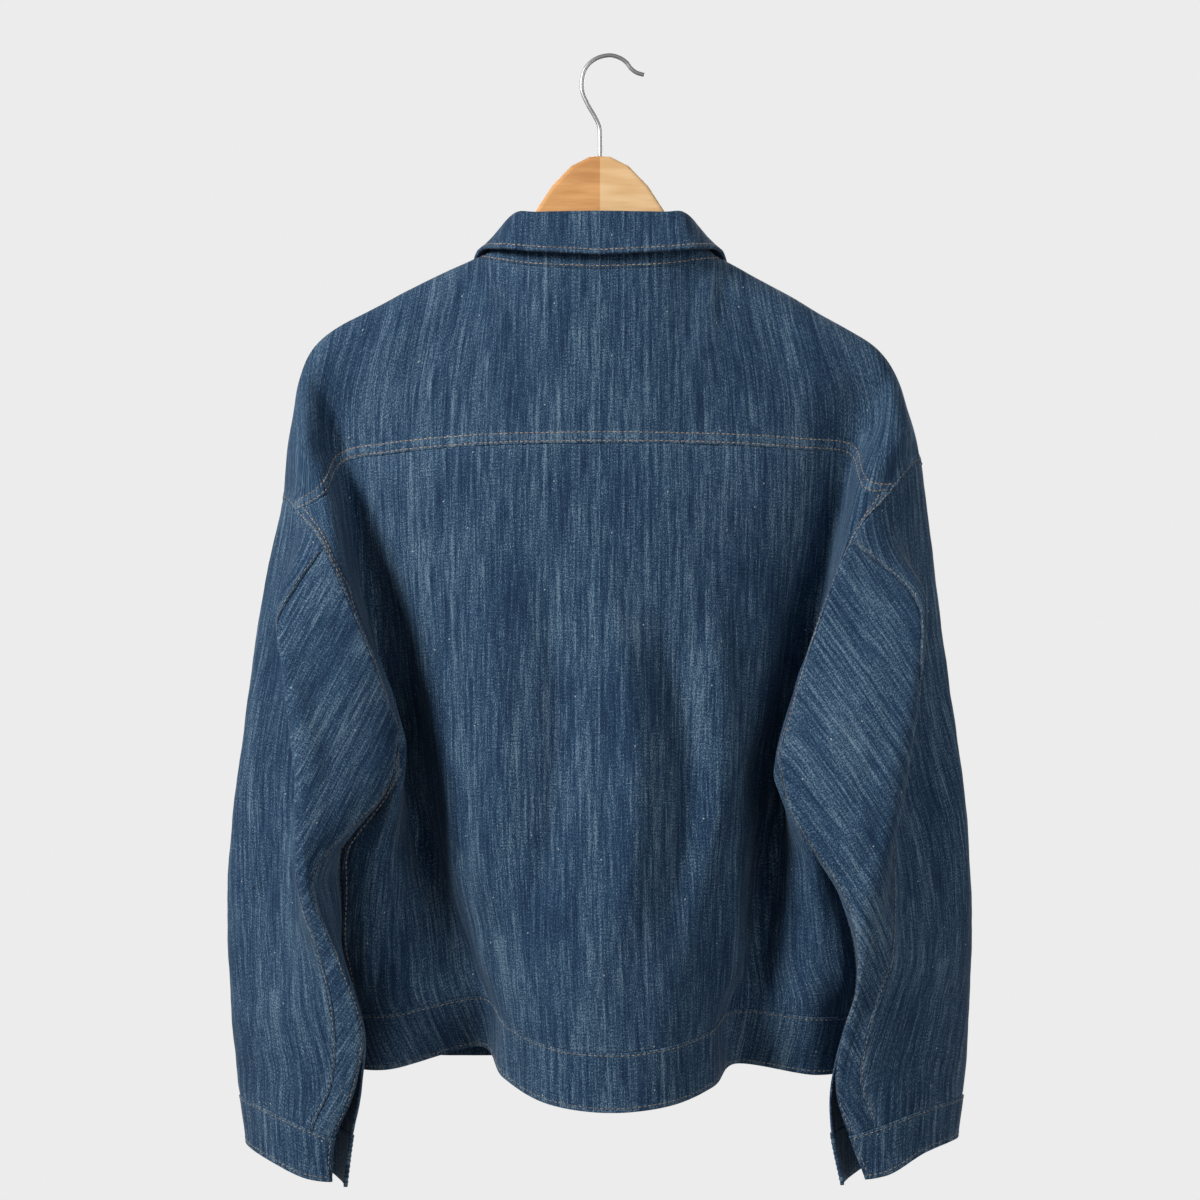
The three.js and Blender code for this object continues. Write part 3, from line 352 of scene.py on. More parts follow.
# The main creases. Each is a soft trough or ridge along a line seen from one side:
# piece, which way it faces (1 back, -1 front), x and z of both ends, half width, height.
CREASES = [
    ("back", 1, 38, -430, 46, -640, 15, -9.5), ("back", 1, 88, -430, 84, -620, 14, 7.0),
    ("back", 1, -8, -420, -14, -660, 15, 8.5), ("back", 1, -52, -450, -56, -645, 12, -9.0),
    ("back", 1, -84, -430, -80, -610, 12, 6.5), ("back", 1, -98, -650, -104, -725, 10, 1.8),
    ("back", 1, 108, -600, 104, -700, 12, -2.2), ("back", 1, 10, -560, 6, -700, 7, 1.2),
    ("back", 1, 170, -400, 146, -530, 14, -6.5), ("back", 1, 146, -500, 132, -640, 15, -6.0),
    ("back", 1, -150, -410, -122, -560, 14, -6.5), ("back", 1, -120, -530, -116, -680, 15, -6.0),
    ("back", 1, 150, -640, 168, -700, 8, -2.4), ("back", 1, -148, -650, -166, -705, 8, -2.2),
    ("back", 1, 178, -655, 181, -722, 5, 1.8), ("back", 1, -176, -655, -180, -720, 5, 1.7),
    ("back", 1, 60, -325, 120, -420, 16, 1.1), ("back", 1, -58, -330, -116, -410, 16, 1.0),
    ("yoke", 1, 224, -236, 197, -312, 7, -3.0), ("yoke", 1, -221, -240, -194, -306, 7, -2.8),
    ("yoke", 1, 150, -205, 190, -262, 12, 1.2), ("yoke", 1, -150, -210, -186, -262, 12, 1.1),
    ("yoke", 1, 100, -180, 152, -250, 13, -1.2), ("yoke", 1, -98, -182, -148, -252, 13, -1.1),
    ("yoke", 1, 200, -255, 216, -312, 8, -1.9), ("yoke", 1, -198, -252, -214, -300, 8, -1.8),
    ("yoke", 1, 44, -190, 60, -270, 14, 0.9), ("yoke", 1, -40, -190, -58, -262, 14, 0.8),
    ("front", -1, 100, -430, 104, -640, 14, -2.2), ("front", -1, -98, -420, -106, -655, 14, -2.1),
    ("front", -1, 62, -560, 58, -715, 10, 1.6), ("front", -1, -66, -580, -60, -712, 10, 1.5),
    ("front", -1, 134, -650, 140, -722, 8, 1.9), ("front", -1, -132, -640, -140, -720, 8, 1.8),
    ("front", -1, 150, -210, 176, -330, 13, -1.7), ("front", -1, -150, -214, -174, -326, 13, -1.6),
    ("front", -1, 196, -300, 186, -420, 9, 2.0), ("front", -1, -196, -296, -184, -420, 9, 1.9),
    ("front", -1, 40, -300, 46, -420, 14, 0.9), ("front", -1, -42, -310, -50, -430, 14, 0.8),
    ("sleeve", 1, 244, -600, 264, -655, 6, -2.0), ("sleeve", 1, 240, -640, 262, -690, 5, 1.5),
    ("sleeve", 1, 236, -700, 270, -722, 6, -1.6), ("sleeve", 1, 262, -500, 268, -590, 7, 1.4),
    ("sleeve", 1, 252, -440, 256, -520, 6, -1.3), ("sleeve", 1, 222, -470, 196, -560, 8, -1.8),
    ("sleeve", 1, 212, -430, 180, -500, 9, 1.5), ("sleeve", 1, 226, -745, 266, -758, 5, 1.2),
    ("sleeve", 1, -244, -610, -266, -660, 6, -1.9), ("sleeve", 1, -238, -655, -264, -700, 5, 1.5),
    ("sleeve", 1, -236, -712, -270, -728, 6, -1.5), ("sleeve", 1, -262, -490, -268, -580, 7, 1.4),
    ("sleeve", 1, -252, -430, -258, -510, 6, -1.3), ("sleeve", 1, -222, -470, -182, -570, 9, -1.9),
    ("sleeve", 1, -214, -430, -164, -530, 9, 1.5), ("sleeve", 1, -226, -750, -268, -760, 5, 1.1),
    ("sleeve", 1, -206, -560, -186, -620, 7, -1.5), ("sleeve", 1, 236, -560, 248, -600, 5, 1.2),
    ("sleeve", -1, 250, -500, 238, -580, 9, -1.9), ("sleeve", -1, 262, -590, 236, -640, 8, 1.8),
    ("sleeve", -1, 266, -660, 240, -700, 7, -1.7), ("sleeve", -1, 258, -740, 236, -764, 6, 1.4),
    ("sleeve", -1, -250, -490, -238, -570, 9, -1.8), ("sleeve", -1, -262, -590, -238, -636, 8, 1.7),
    ("sleeve", -1, -266, -655, -242, -700, 7, -1.6), ("sleeve", -1, -258, -738, -236, -760, 6, 1.3),
]


# A crease bows sideways and fades in and out by these shares of its length.
CREASE_BOW = 0.06
CREASE_FADE = 0.25


def crease(kind, grid, n):
    out = np.zeros(grid.shape[:2])
    x, z = grid[..., 0], grid[..., 2]
    for name, side, x0, z0, x1, z1, width, height in CREASES:
        if name != kind:
            continue
        length = math.hypot(x1 - x0, z1 - z0)
        ux, uz = (x1 - x0) / length, (z1 - z0) / length
        s = (x - x0) * ux + (z - z0) * uz
        t = (x - x0) * uz - (z - z0) * ux
        t = t - CREASE_BOW * length * np.sin(s / length * math.pi)
        run = CREASE_FADE * length
        fade = smooth((s + run) / (2 * run)) * smooth((length + run - s) / (2 * run))
        facing = smooth(n[..., 1] * side * 2.5)
        out += height * bell(t, width) * fade * facing
    return out


# A seam's relief at a distance from its edge: the lapped cloth, and the rows of stitches sunk in it.
SEAMS = {
    "felled": (9.6, 0.75, (1.9, 8.3)),
    "single": (6.5, 0.6, (1.9,)),
    "edge": (4.5, 0.35, (2.9,)),
    "band": (3.2, 0.3, (2.0,)),
    "collar": (5.0, 0.35, (3.3,)),
    "stand": (3.6, 0.3, (2.2,)),
    "under": (0.0, 0.0, ()),
}


def seam_relief(style, distance, run, seed):
    width, height, rows = SEAMS[style]
    if not width:
        return -0.25 * bell(distance, 2.0), 0.25 * bell(distance, 3.0)
    pucker = 0.75 + 0.25 * waves(run, run * 0.3, 11.0, seed) + 0.12 * waves(run, distance, 5.0, seed + 1)
    lap = height * smooth((width - distance) / 1.6) * pucker
    patches = 0.6 + 0.6 * waves(run, distance * 2, 9.0, seed + 2)
    wear = 0.55 * smooth((width + 1.5 - distance) / 3.0) * patches
    for at in rows:
        lap = lap - 0.38 * bell(distance - at, 0.85)
        wear = wear - 0.2 * bell(distance - at, 0.8)
    return lap, wear


# A piece of cloth: its grid, its seams' relief and creases, and what stitches need to follow it.
class Cloth:
    def __init__(self, name, grid, outward, kind, seams, amount, seed):
        self.name = name
        n = normals(grid, outward)
        rows, cols = grid.shape[:2]
        u = lengths(grid, 1)
        v = lengths(grid, 0)
        middle = cols // 2
        self.uv = np.stack([u - u[:, middle:middle + 1], v], -1)
        self.distance = {"first": v, "last": v[-1:] - v, "start": u, "end": u[:, -1:] - u}
        self.run = {"first": u, "last": u, "start": v, "end": v}
        self.size = (float(u[:, -1].mean()), float(v[-1].mean()))
        relief = crease(kind, grid, n) if kind else np.zeros((rows, cols))
        wear = np.zeros((rows, cols))
        relief += amount * (waves(u, v, 70, seed) * 0.9 + waves(u, v, 24, seed + 3) * 0.35)
        calm = np.minimum.reduce([smooth(d / 12) for d in self.distance.values()])
        relief *= 0.35 + 0.65 * calm
        for i, (border, style) in enumerate(seams.items()):
            lift, worn = seam_relief(style, self.distance[border], self.run[border], seed * 11 + i)
            relief += lift
            wear += worn
        self.wear = np.clip(wear + 0.16 * waves(u, v, 120, seed + 5), -0.4, 1)
        self.grid = grid + n * relief[..., None]
        self.normal = normals(self.grid, outward)

    # The warp of a piece that hangs flat runs straight, leaning by an angle seen from the back. A
    # share of the depth is added across, so that the streaks don't stretch where the piece turns in.
    def lay_flat(self, lean):
        x, z = self.grid[..., 0] + self.grid[..., 1] * 0.3, self.grid[..., 2]
        across, down = math.cos(lean), math.sin(lean)
        self.uv = np.stack([x * across + z * down, z * across - x * down], -1)

    # The line at a fixed distance from one border, between two shares of its length.
    def line(self, border, distance, low=0.0, high=1.0):
        grid, n = self.grid, self.normal
        if border in ("first", "last"):
            grid, n = grid.swapaxes(0, 1), n.swapaxes(0, 1)
        if border in ("last", "end"):
            grid, n = grid[:, ::-1], n[:, ::-1]
        along_line = lengths(grid, 1)
        points, outs = [], []
        for g, m, s in zip(grid, n, along_line):
            points.append([np.interp(distance, s, g[:, k]) for k in range(3)])
            outs.append([np.interp(distance, s, m[:, k]) for k in range(3)])
        points, outs = np.array(points), np.array(outs)
        s = np.concatenate([[0], np.cumsum(np.linalg.norm(np.diff(points, axis=0), axis=1))])
        keep = (s >= low * s[-1]) & (s <= high * s[-1])
        return points[keep], outs[keep]


def to_metres(p):
    q = np.array(p, float)
    q[..., 0] += MIDDLE_X
    return q * MM


def build_mesh(name, points, faces, material, uv=None, wear=None):
    mesh = bpy.data.meshes.new(name)
    mesh.from_pydata(to_metres(points).tolist(), [], faces)
    mesh.polygons.foreach_set("use_smooth", [True] * len(mesh.polygons))
    if uv is not None:
        layer = mesh.uv_layers.new(name="cloth")
        index = np.empty(len(mesh.loops), int)
        mesh.loops.foreach_get("vertex_index", index)
        layer.data.foreach_set("uv", (uv * MM)[index].ravel())
    if wear is not None:
        attribute = mesh.attributes.new("wear", "FLOAT", "POINT")
        attribute.data.foreach_set("value", wear.ravel())
    mesh.materials.append(material)
    obj = bpy.data.objects.new(name, mesh)
    bpy.context.collection.objects.link(obj)
    return obj


def cloth_object(cloth, thickness, material):
    rows, cols = cloth.grid.shape[:2]
    index = np.arange(rows * cols).reshape(rows, cols)
    quads = np.stack([index[:-1, :-1], index[:-1, 1:], index[1:, 1:], index[1:, :-1]], -1).reshape(-1, 4)
    a, b, c = cloth.grid[0, 0], cloth.grid[0, 1], cloth.grid[1, 1]
    if np.dot(np.cross(b - a, c - a), cloth.normal[0, 0]) < 0:
        quads = quads[:, ::-1]
    obj = build_mesh(cloth.name, cloth.grid.reshape(-1, 3), quads.tolist(), material,
                     cloth.uv.reshape(-1, 2), cloth.wear)
    shell = obj.modifiers.new("thickness", "SOLIDIFY")
    shell.thickness = thickness * MM
    shell.offset = 0.0
    return obj


# Stitches as small threads that rise from the cloth and dive into it again.
# place along the stitch, share of the thread's radius, rise in radii
THREAD_RINGS = ((-0.5, 0.3, -0.5), (-0.36, 0.85, 0.05), (-0.12, 1.0, 0.3),
                (0.12, 1.0, 0.3), (0.36, 0.85, 0.05), (0.5, 0.3, -0.5))
THREAD_SIDES = 5
STITCH_JITTER = 0.12


class Stitches:
    def __init__(self, name):
        self.name = name
        self.points = []
        self.faces = []

    def sew(self, points, outs, lift):
        s = np.concatenate([[0], np.cumsum(np.linalg.norm(np.diff(points, axis=0), axis=1))])
        starts = np.arange(STITCH_GAP, s[-1] - STITCH, STITCH + STITCH_GAP)
        at = lambda d: np.array([np.interp(d, s, points[:, k]) for k in range(3)])
        out_at = lambda d: np.array([np.interp(d, s, outs[:, k]) for k in range(3)])
        for begin in starts:
            jitter = rng.uniform(-STITCH_JITTER, STITCH_JITTER)
            a, b = at(begin), at(begin + STITCH)
            middle = (a + b) / 2
            ahead = b - a
            size = np.linalg.norm(ahead)
            if size < 1e-6:
                continue
            ahead /= size
            out = out_at(begin + STITCH / 2)
            out = out - ahead * out.dot(ahead)
            out /= np.linalg.norm(out)
            across = np.cross(ahead, out)
            first = len(self.points)
            for place, width, rise in THREAD_RINGS:
                centre = middle + ahead * place * size + out * (lift + rise * THREAD) + across * jitter
                for k in range(THREAD_SIDES):
                    turn = 2 * math.pi * k / THREAD_SIDES
                    r = THREAD * width
                    flat = 0.8 * r
                    self.points.append(centre + across * math.cos(turn) * r + out * math.sin(turn) * flat)
            for ring in range(len(THREAD_RINGS) - 1):
                start = first + ring * THREAD_SIDES
                for k in range(THREAD_SIDES):
                    p, q = start + k, start + (k + 1) % THREAD_SIDES
                    self.faces.append((p, q, q + THREAD_SIDES, p + THREAD_SIDES))
            last = first + (len(THREAD_RINGS) - 1) * THREAD_SIDES
            self.faces.append(tuple(first + k for k in reversed(range(THREAD_SIDES))))
            self.faces.append(tuple(last + k for k in range(THREAD_SIDES)))

    def build(self, material):
        return build_mesh(self.name, np.array(self.points), self.faces, material)


# Materials.
def nodes_of(name):
    material = bpy.data.materials.new(name)
    material.use_nodes = True
    tree = material.node_tree
    return material, tree, tree.nodes["Principled BSDF"]


def put(tree, kind, **values):
    node = tree.nodes.new(kind)
    for key, value in values.items():
        setattr(node, key, value)
    return node


def math_node(tree, operation, a, b):
    node = put(tree, "ShaderNodeMath", operation=operation)
    for socket, value in zip(node.inputs, (a, b)):
        if isinstance(value, (int, float)):
            socket.default_value = value
        else:
            tree.links.new(value, socket)
    return node.outputs[0]


def ramp(tree, factor, stops):
    node = put(tree, "ShaderNodeValToRGB")
    ends = node.color_ramp.elements
    while len(ends) < len(stops):
        ends.new(0.5)
    for element, (place, colour) in zip(ends, stops):
        element.position = place
        element.color = (*colour, 1)
    tree.links.new(factor, node.inputs[0])
    return node.outputs[0]


def noise_2d(tree, vector, across, down, detail):
    mapping = put(tree, "ShaderNodeMapping")
    mapping.inputs["Scale"].default_value = (across, down, 1)
    tree.links.new(vector, mapping.inputs["Vector"])
    node = put(tree, "ShaderNodeTexNoise", noise_dimensions="2D")
    node.inputs["Scale"].default_value = 1.0
    node.inputs["Detail"].default_value = detail
    node.inputs["Roughness"].default_value = 0.62
    tree.links.new(mapping.outputs[0], node.inputs["Vector"])
    return node.outputs[0]


# Slubby denim: streaks along the warp, short flecks across it, and paler cloth where seams rub.
def denim(name, lift=0.0):
    material, tree, shader = nodes_of(name)
    cloth = put(tree, "ShaderNodeUVMap", uv_map="cloth").outputs[0]
    wear = put(tree, "ShaderNodeAttribute", attribute_name="wear").outputs["Fac"]
    parts = [
        (noise_2d(tree, cloth, 300, 12, 3.0), 0.24), (noise_2d(tree, cloth, 800, 46, 2.0), 0.22),
        (noise_2d(tree, cloth, 130, 900, 2.0), 0.12), (noise_2d(tree, cloth, 1200, 800, 1.0), 0.34),
        (noise_2d(tree, cloth, 34, 7, 2.0), 0.12),
    ]
    total = lift
    for value, share in parts:
        total = math_node(tree, "ADD", math_node(tree, "MULTIPLY", value, share), total)
    total = math_node(tree, "ADD", math_node(tree, "MULTIPLY", wear, 0.07), total)
    colour = ramp(tree, total, [
        (0.42, (0.0041, 0.0190, 0.0523)), (0.475, (0.0102, 0.0365, 0.0863)),
        (0.525, (0.0218, 0.0600, 0.1179)), (0.572, (0.0540, 0.1070, 0.1750)),
        (0.635, (0.1550, 0.2320, 0.3050))])
    specks = put(tree, "ShaderNodeTexVoronoi", voronoi_dimensions="2D", feature="F1")
    specks.inputs["Scale"].default_value = 17.0
    tree.links.new(cloth, specks.inputs["Vector"])
    nep = math_node(tree, "LESS_THAN", specks.outputs["Distance"], 0.009)
    mix = put(tree, "ShaderNodeMix", data_type="RGBA")
    tree.links.new(math_node(tree, "MULTIPLY", nep, 0.7), mix.inputs["Factor"])
    tree.links.new(colour, mix.inputs["A"])
    mix.inputs["B"].default_value = (0.55, 0.58, 0.58, 1)
    tree.links.new(mix.outputs["Result"], shader.inputs["Base Color"])
    shader.inputs["Roughness"].default_value = 0.88
    shader.inputs["Specular IOR Level"].default_value = 0.25
    shader.inputs["Sheen Weight"].default_value = 0.12
    shader.inputs["Sheen Roughness"].default_value = 0.5
    shader.inputs["Sheen Tint"].default_value = (0.6, 0.72, 0.85, 1)
    bump = put(tree, "ShaderNodeBump")
    bump.inputs["Strength"].default_value = 0.55
    bump.inputs["Distance"].default_value = 0.0006
    tree.links.new(total, bump.inputs["Height"])
    tree.links.new(bump.outputs[0], shader.inputs["Normal"])
    return material


def thread(name, colour):
    material, tree, shader = nodes_of(name)
    place = put(tree, "ShaderNodeNewGeometry").outputs["Position"]
    node = put(tree, "ShaderNodeTexNoise")
    node.inputs["Scale"].default_value = 160.0
    tree.links.new(place, node.inputs["Vector"])
    dark = tuple(0.45 * c for c in colour)
    tree.links.new(ramp(tree, node.outputs[0], [(0.35, dark), (0.62, colour)]), shader.inputs["Base Color"])
    shader.inputs["Roughness"].default_value = 0.7
    return material


def wood(name):
    material, tree, shader = nodes_of(name)
    place = put(tree, "ShaderNodeNewGeometry").outputs["Position"]
    split = put(tree, "ShaderNodeSeparateXYZ")
    tree.links.new(place, split.inputs[0])
    mapping = put(tree, "ShaderNodeMapping")
    mapping.inputs["Scale"].default_value = (26, 60, 190)
    mapping.inputs["Rotation"].default_value = (0, 0.5, 0)
    tree.links.new(place, mapping.inputs["Vector"])
    grain = put(tree, "ShaderNodeTexNoise")
    grain.inputs["Scale"].default_value = 1.0
    grain.inputs["Detail"].default_value = 4.0
    tree.links.new(mapping.outputs[0], grain.inputs["Vector"])
    left = ramp(tree, grain.outputs[0], [(0.3, (0.62, 0.29, 0.105)), (0.7, (0.86, 0.45, 0.18))])
    right = ramp(tree, grain.outputs[0], [(0.3, (0.80, 0.48, 0.22)), (0.7, (0.96, 0.66, 0.36))])
    side = math_node(tree, "GREATER_THAN", split.outputs["X"], MIDDLE_X * MM)
    mix = put(tree, "ShaderNodeMix", data_type="RGBA")
    tree.links.new(side, mix.inputs["Factor"])
    tree.links.new(right, mix.inputs["A"])
    tree.links.new(left, mix.inputs["B"])
    tree.links.new(mix.outputs["Result"], shader.inputs["Base Color"])
    shader.inputs["Roughness"].default_value = 0.6
    shader.inputs["Specular IOR Level"].default_value = 0.2
    return material


def metal(name, colour, roughness):
    material, _, shader = nodes_of(name)
    shader.inputs["Base Color"].default_value = (*colour, 1)
    shader.inputs["Metallic"].default_value = 1.0
    shader.inputs["Roughness"].default_value = roughness
    return material


DENIM = denim("denim")
COLLAR_DENIM = denim("denim_collar", -0.01)
THREADS = {"tan_thread": thread("tan_thread", (0.44, 0.34, 0.26)),
           "grey_thread": thread("grey_thread", (0.27, 0.26, 0.25))}
STYLE_THREADS = {"felled": "tan_thread", "collar": "tan_thread", "stand": "tan_thread", "edge": "grey_thread",
                 "band": "grey_thread", "single": "grey_thread", "under": None}
WOOD = wood("hanger_wood")
WIRE = metal("wire", (0.52, 0.525, 0.54), 0.45)
COPPER = metal("copper", (0.50, 0.27, 0.14), 0.38)

# The pieces of cloth.
HALF = graded(0, EDGE, 88, (0, 0.8), 10)
NARROW = graded(0, EDGE, 84, (0, 0.8), 10)


def back_grid(downs):
    left = body("left", True, HALF[None, :], downs[:, None])
    right = body("right", True, HALF[None, :], downs[:, None])
    return np.concatenate([left[:, ::-1], right[:, 1:]], axis=1)


def yoke_grid():
    lap = SHOULDER_LAP * smooth((HALF - 0.97) * 12) * smooth((EDGE - HALF) * 3)
    shares = graded(0, 1, 54, (0.11, 0.08), 12)
    sides = []
    for side in ("left", "right"):
        place = -lap[None, :] + shares[:, None] * (YOKE_SEAM + lap[None, :])
        behind = body(side, True, HALF[None, :], np.maximum(place, 0))
        before = body(side, False, HALF[None, :], np.maximum(-place, 0))
        sides.append(np.where((place >= 0)[..., None], behind, before))
    return np.concatenate([sides[0][:, ::-1], sides[1][:, 1:]], axis=1)


def front_grid(side, downs):
    sign = 1 if side == "left" else -1
    grid = body(side, False, NARROW[None, :], downs[:, None])
    near = smooth(1 - (np.abs(grid[..., 0]) - FRONT_LAP) / 60)
    grid[..., 1] -= sign * FRONT_SPLIT * near
    lapped = np.repeat(grid[:, :1], 8, axis=1)
    lapped[..., 0] -= sign * np.linspace(FRONT_LAP, FRONT_LAP / 8, 8)[None, :]
    return np.concatenate([lapped, grid], axis=1)


def band_grid():
    downs = graded(HEM_SEAM, HEM, 12, (6, 6), 7)
    right = front_grid("right", downs)[:, :-1]
    back = back_grid(downs)[:, ::-1]
    left = front_grid("left", downs)[:, ::-1][:, 1:]
    return np.concatenate([right, back, left], axis=1)


def seam_place(side, ring):
    return scalar_rows(range(len(SLEEVES[side])), [row[7] for row in SLEEVES[side]], ring)


def sleeve_grid(side, under):
    rings = graded(0, CUFF_RING, 112, (0.3, 0.3), 8)
    seam = seam_place(side, rings)[:, None]
    if under:
        share = graded(0, 1, 30, (0.2, 0.2), 9)[None, :]
        places = share * seam
    else:
        share = graded(0, 1, 84, (0.06, 0.06), 9)[None, :]
        places = seam + share * (6 - seam)
    return sleeve(side, places, rings[:, None])


def cuff_grid(side):
    rings = graded(CUFF_RING, CUFF_RING + 1, 10, (0.15, 0.15), 5)
    return sleeve(side, graded(0, 6, 96, (0.3, 0.3), 6)[None, :], rings[:, None])


def neckline(side, c):
    c = np.asarray(c, float)
    behind = top_points(side, np.minimum(c, 1), True)
    before = top_points(side, np.clip(2 - c, 0, 1), False)
    return np.where((c <= 1)[:, None], behind, before)


def collar_grid():
    c = np.linspace(0, 1.93, 76)
    t = graded(0, 6, 40, (0, 0.7), 8)
    halves = []
    for side in ("left", "right"):
        sign = 1 if side == "left" else -1
        table = np.array(COLLAR, float)
        table[..., 0] *= sign
        place = c / 2 * (len(COLLAR) - 1)
        fold = down_rows(range(len(COLLAR)), [np.repeat(p[None], len(c), 0) for p in table[:, 0]], place)
        edge = down_rows(range(len(COLLAR)), [np.repeat(p[None], len(c), 0) for p in table[:, 1]], place)
        base = neckline(side, c)
        base[:, 2] -= 1.0
        out = edge - base
        out[:, 2] = 0
        out /= np.linalg.norm(out, axis=1, keepdims=True)
        drop = np.array([0, 0, -COLLAR_ROLL])
        stand = fold - out * COLLAR_ROLL + drop
        fall = fold + out * COLLAR_ROLL + drop
        line = [base, base + (stand - base) * 0.55, stand, fold, fall, (fall + edge) / 2, edge]
        halves.append(np.stack([along([p[i] for p in line], t) for i in range(len(c))], axis=1))
    return np.concatenate([halves[0][:, ::-1], halves[1][:, 1:]], axis=1)


def placket_grid():
    downs = graded(PLACKET_TOP, HEM_SEAM, 150, (6, 4), 6)
    grid = front_grid("left", downs)
    widths = graded(0, PLACKET_WIDTH, 12, (6, 6), 6)
    rows = []
    for row in grid:
        offset = row[:, 0] - row[0, 0]
        rows.append([[np.interp(w, offset, row[:, k]) for k in range(3)] for w in widths])
    out = np.array(rows)
    out[..., 1] -= (CLOTH + BAND) / 2 + 0.1
    return out


def sleeve_outward(side):
    centres = sleeve(side, np.linspace(0, 5.9, 40)[None, :], np.linspace(0, 9, 60)[:, None]).mean(axis=1)

    def outward(grid, n):
        z = grid[..., 2]
        order = np.argsort(centres[:, 2])
        middle = np.stack([np.interp(z, centres[order, 2], centres[order, k]) for k in (0, 1)], -1)
        return 1.0 if ((grid[..., :2] - middle) * n[..., :2]).sum(-1).mean() > 0 else -1.0
    return outward


def collar_outward(grid, n):
    return 1.0 if ((grid[-12:] - np.array([0, 0, -150.0])) * n[-12:])[..., :2].sum() > 0 else -1.0


def band_outward(grid, n):
    centre = grid.mean(axis=(0, 1))
    return 1.0 if ((grid - centre) * n)[..., :2].sum() > 0 else -1.0


PANEL_DOWNS = graded(YOKE_SEAM, HEM_SEAM, 140, (11, 9), 9)
FRONT_DOWNS = graded(SHOULDER_LAP, HEM_SEAM, 150, (8, 8), 7)
FLAP_WARP = math.radians(30)
# name, nodes it stands for, grid, outward side, creases, seams, thickness, unevenness
PIECES = [
    ("yoke", ["back_yoke"], yoke_grid(), facing_y(1), "yoke",
     {"first": "under", "last": "felled", "start": "single", "end": "single"}, CLOTH, 0.45),
    ("back", ["back_panel"], back_grid(PANEL_DOWNS), facing_y(1), "back",
     {"first": "under", "last": "under", "start": "felled", "end": "felled"}, CLOTH, 0.7),
    ("left_front_cloth", ["left_front"], front_grid("left", FRONT_DOWNS), facing_y(-1), "front",
     {"first": "under", "last": "under", "end": "single"}, CLOTH, 0.6),
    ("right_front_cloth", ["right_front"], front_grid("right", FRONT_DOWNS), facing_y(-1), "front",
     {"first": "under", "last": "under", "start": "edge", "end": "single"}, CLOTH, 0.6),
    ("placket", ["front_placket"], placket_grid(), facing_y(-1), None,
     {"start": "edge", "end": "edge"}, BAND - 1.0, 0.15),
    ("hem", ["hem_band"], band_grid(), band_outward, None,
     {"first": "band", "last": "edge", "start": "edge", "end": "edge"}, BAND, 0.3),
    ("collar_cloth", ["collar"], collar_grid(), collar_outward, None,
     {"first": "stand", "last": "collar", "start": "collar", "end": "collar"}, BAND, 0.15),
]
for side in ("left", "right"):
    PIECES += [
        (side + "_under", [side + "_sleeve_under"], sleeve_grid(side, True), sleeve_outward(side), "sleeve",
         {"first": "under", "last": "under", "start": "single", "end": "under"}, CLOTH, 0.5),
        (side + "_top", [side + "_sleeve_top"], sleeve_grid(side, False), sleeve_outward(side), "sleeve",
         {"first": "under", "last": "under", "start": "single", "end": "under"}, CLOTH, 0.6),
        (side + "_cuff_cloth", [side + "_cuff"], cuff_grid(side), sleeve_outward(side), None,
         {"first": "band", "last": "edge", "start": "edge", "end": "edge"}, BAND, 0.2),
    ]

for number, (name, stands_for, grid, outward, kind, seams, thickness, amount) in enumerate(PIECES):
    cloth = Cloth(name, grid, outward, kind, seams, amount, 20 + number)
    if name.endswith("_under"):
        cloth.lay_flat(FLAP_WARP if name.startswith("left") else -FLAP_WARP)
    obj = cloth_object(cloth, thickness, COLLAR_DENIM if name == "collar_cloth" else DENIM)
    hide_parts(*stands_for)
    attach(obj, "root")
    for colour, material in THREADS.items():
        sewing = Stitches(name + "_" + colour)
        for border, style in seams.items():
            for at in SEAMS[style][2] if STYLE_THREADS[style] == colour else ():
                points, outs = cloth.line(border, at, 0.005, 0.995)
                # the stand shows its other face, because the collar turns over at its fold
                sewing.sew(points, -outs if style == "stand" else outs, thickness / 2)
        if sewing.faces:
            sewn = sewing.build(material)
            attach(sewn, "root")

# The hanger's wire hook.
HOOK = [(0, -90), (0, -62), (0.6, -53), (4, -45.5), (9.5, -36), (13.6, -26), (13.9, -18), (12, -10),
        (7.5, -4), (1, 0), (-7.7, WIRE_RADIUS), (-15, -0.2), (-20.5, -4), (-24, -8.6), (-28, -11.6),
        (-34, -13.5)]
curve = bpy.data.curves.new("hook_wire", "CURVE")
curve.dimensions = "3D"
curve.bevel_depth = WIRE_RADIUS * MM
curve.bevel_resolution = 6
curve.use_fill_caps = True
path = along([(x, 0, z) for x, z in HOOK], np.linspace(0, len(HOOK) - 1, 160))
line = curve.splines.new("POLY")
line.points.add(len(path) - 1)
for point, place in zip(line.points, to_metres(path)):
    point.co = (*place, 1)
curve.materials.append(WIRE)
wire = bpy.data.objects.new("hook_wire", curve)
bpy.context.collection.objects.link(wire)
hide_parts("hanger_hook")
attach(wire, "root")

for name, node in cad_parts.items():
    if "button" in name or name == "hanger_wood":
        node.data.materials.clear()
        node.data.materials.append(COPPER if "button" in name else WOOD)

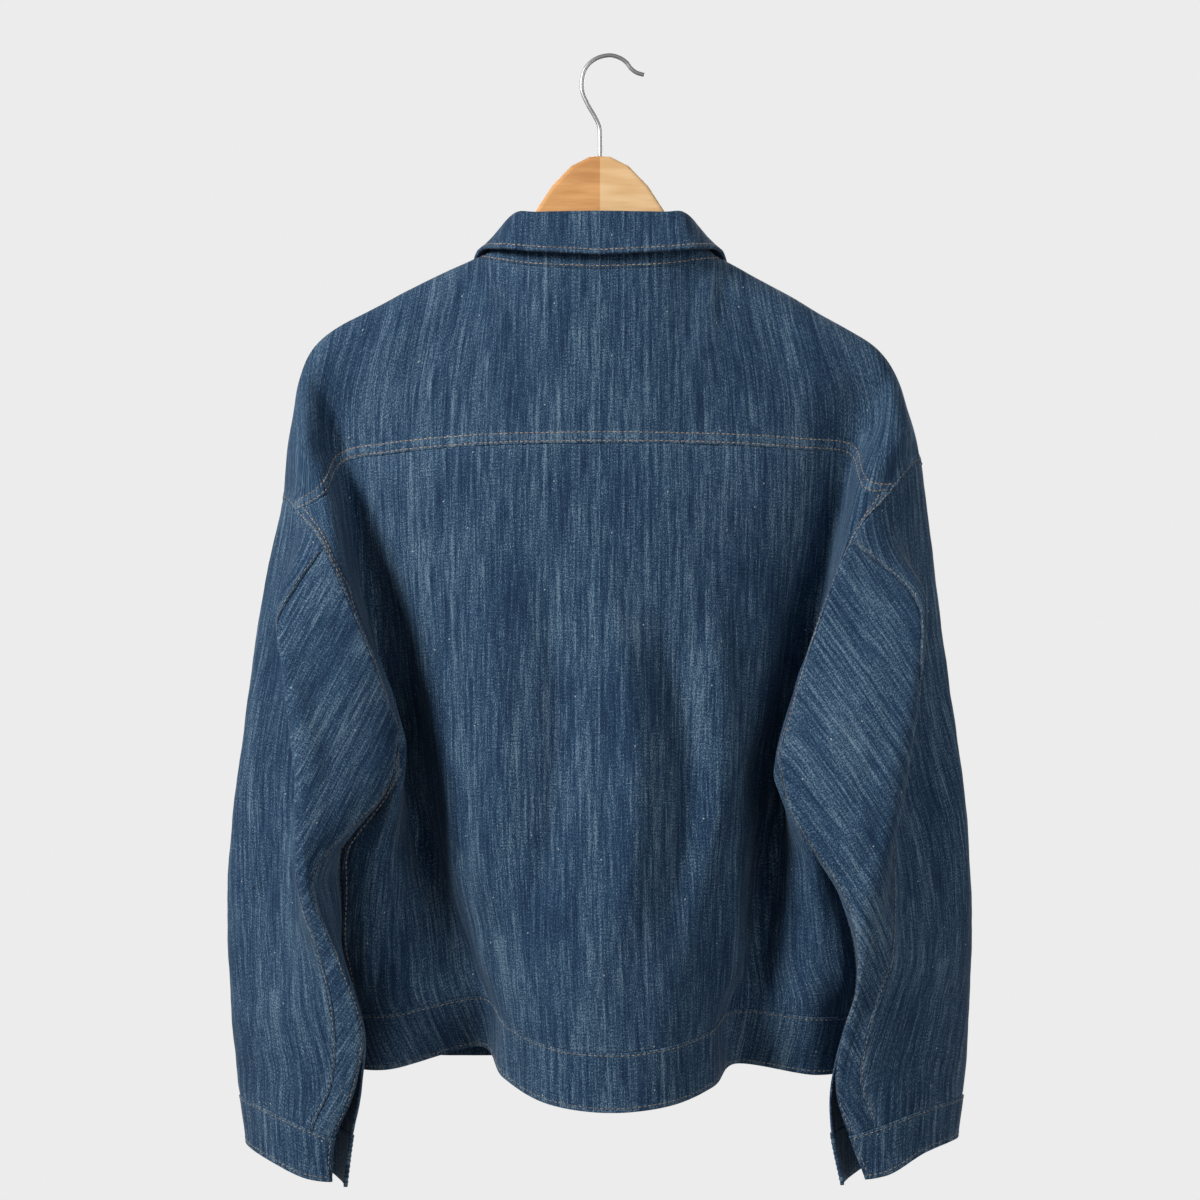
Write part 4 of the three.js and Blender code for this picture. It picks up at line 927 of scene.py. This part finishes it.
# The photograph's view, light and plain background. The view is VIEW_WIDTH wide at the middle plane.
VIEW_DISTANCE = 1900.0
VIEW_HEIGHT = -417.7
VIEW_WIDTH = 924.0
SENSOR = 36.0
scene = bpy.context.scene
camera = bpy.data.objects.new("camera", bpy.data.cameras.new("camera"))
bpy.context.collection.objects.link(camera)
camera.location = (MIDDLE_X * MM, VIEW_DISTANCE * MM, VIEW_HEIGHT * MM)
camera.rotation_euler = (math.radians(90), 0, math.radians(180))
camera.data.sensor_width = SENSOR
camera.data.lens = SENSOR * VIEW_DISTANCE / VIEW_WIDTH
camera.data.clip_end = 30
scene.camera = camera


def area(name, place, aim, size, power):
    light = bpy.data.lights.new(name, "AREA")
    light.shape = "SQUARE"
    light.size = size
    light.energy = power
    obj = bpy.data.objects.new(name, light)
    obj.location = place
    obj.rotation_euler = (Vector(aim) - Vector(place)).to_track_quat("-Z", "Y").to_euler()
    bpy.context.collection.objects.link(obj)


# name, place and aim in metres, size, power
area("key", (1.9, 1.35, 0.65), (0, 0, -0.4), 0.8, 64)
area("fill", (-1.5, 1.7, 0.0), (0, 0, -0.45), 1.5, 14)
area("front_key", (-0.6, -1.9, 0.3), (0, 0, -0.4), 1.5, 22)

# A plain lit wall behind, far enough away that the jacket throws no shadow on it.
WALL_GREY = (0.839, 0.839, 0.839)
wall, _, shader = nodes_of("backdrop")
shader.inputs["Base Color"].default_value = (0, 0, 0, 1)
shader.inputs["Specular IOR Level"].default_value = 0.0
shader.inputs["Emission Color"].default_value = (*WALL_GREY, 1)
shader.inputs["Emission Strength"].default_value = 1.0
bpy.ops.mesh.primitive_plane_add(size=9, location=(0, -3.0, -0.4), rotation=(math.radians(90), 0, 0))
backdrop = bpy.context.object
backdrop.name = "backdrop"
backdrop.data.materials.append(wall)
world = bpy.data.worlds.new("world")
world.use_nodes = True
world.node_tree.nodes["Background"].inputs["Color"].default_value = (0.84, 0.84, 0.84, 1)
world.node_tree.nodes["Background"].inputs["Strength"].default_value = 0.2
scene.world = world
scene.view_settings.view_transform = "Standard"
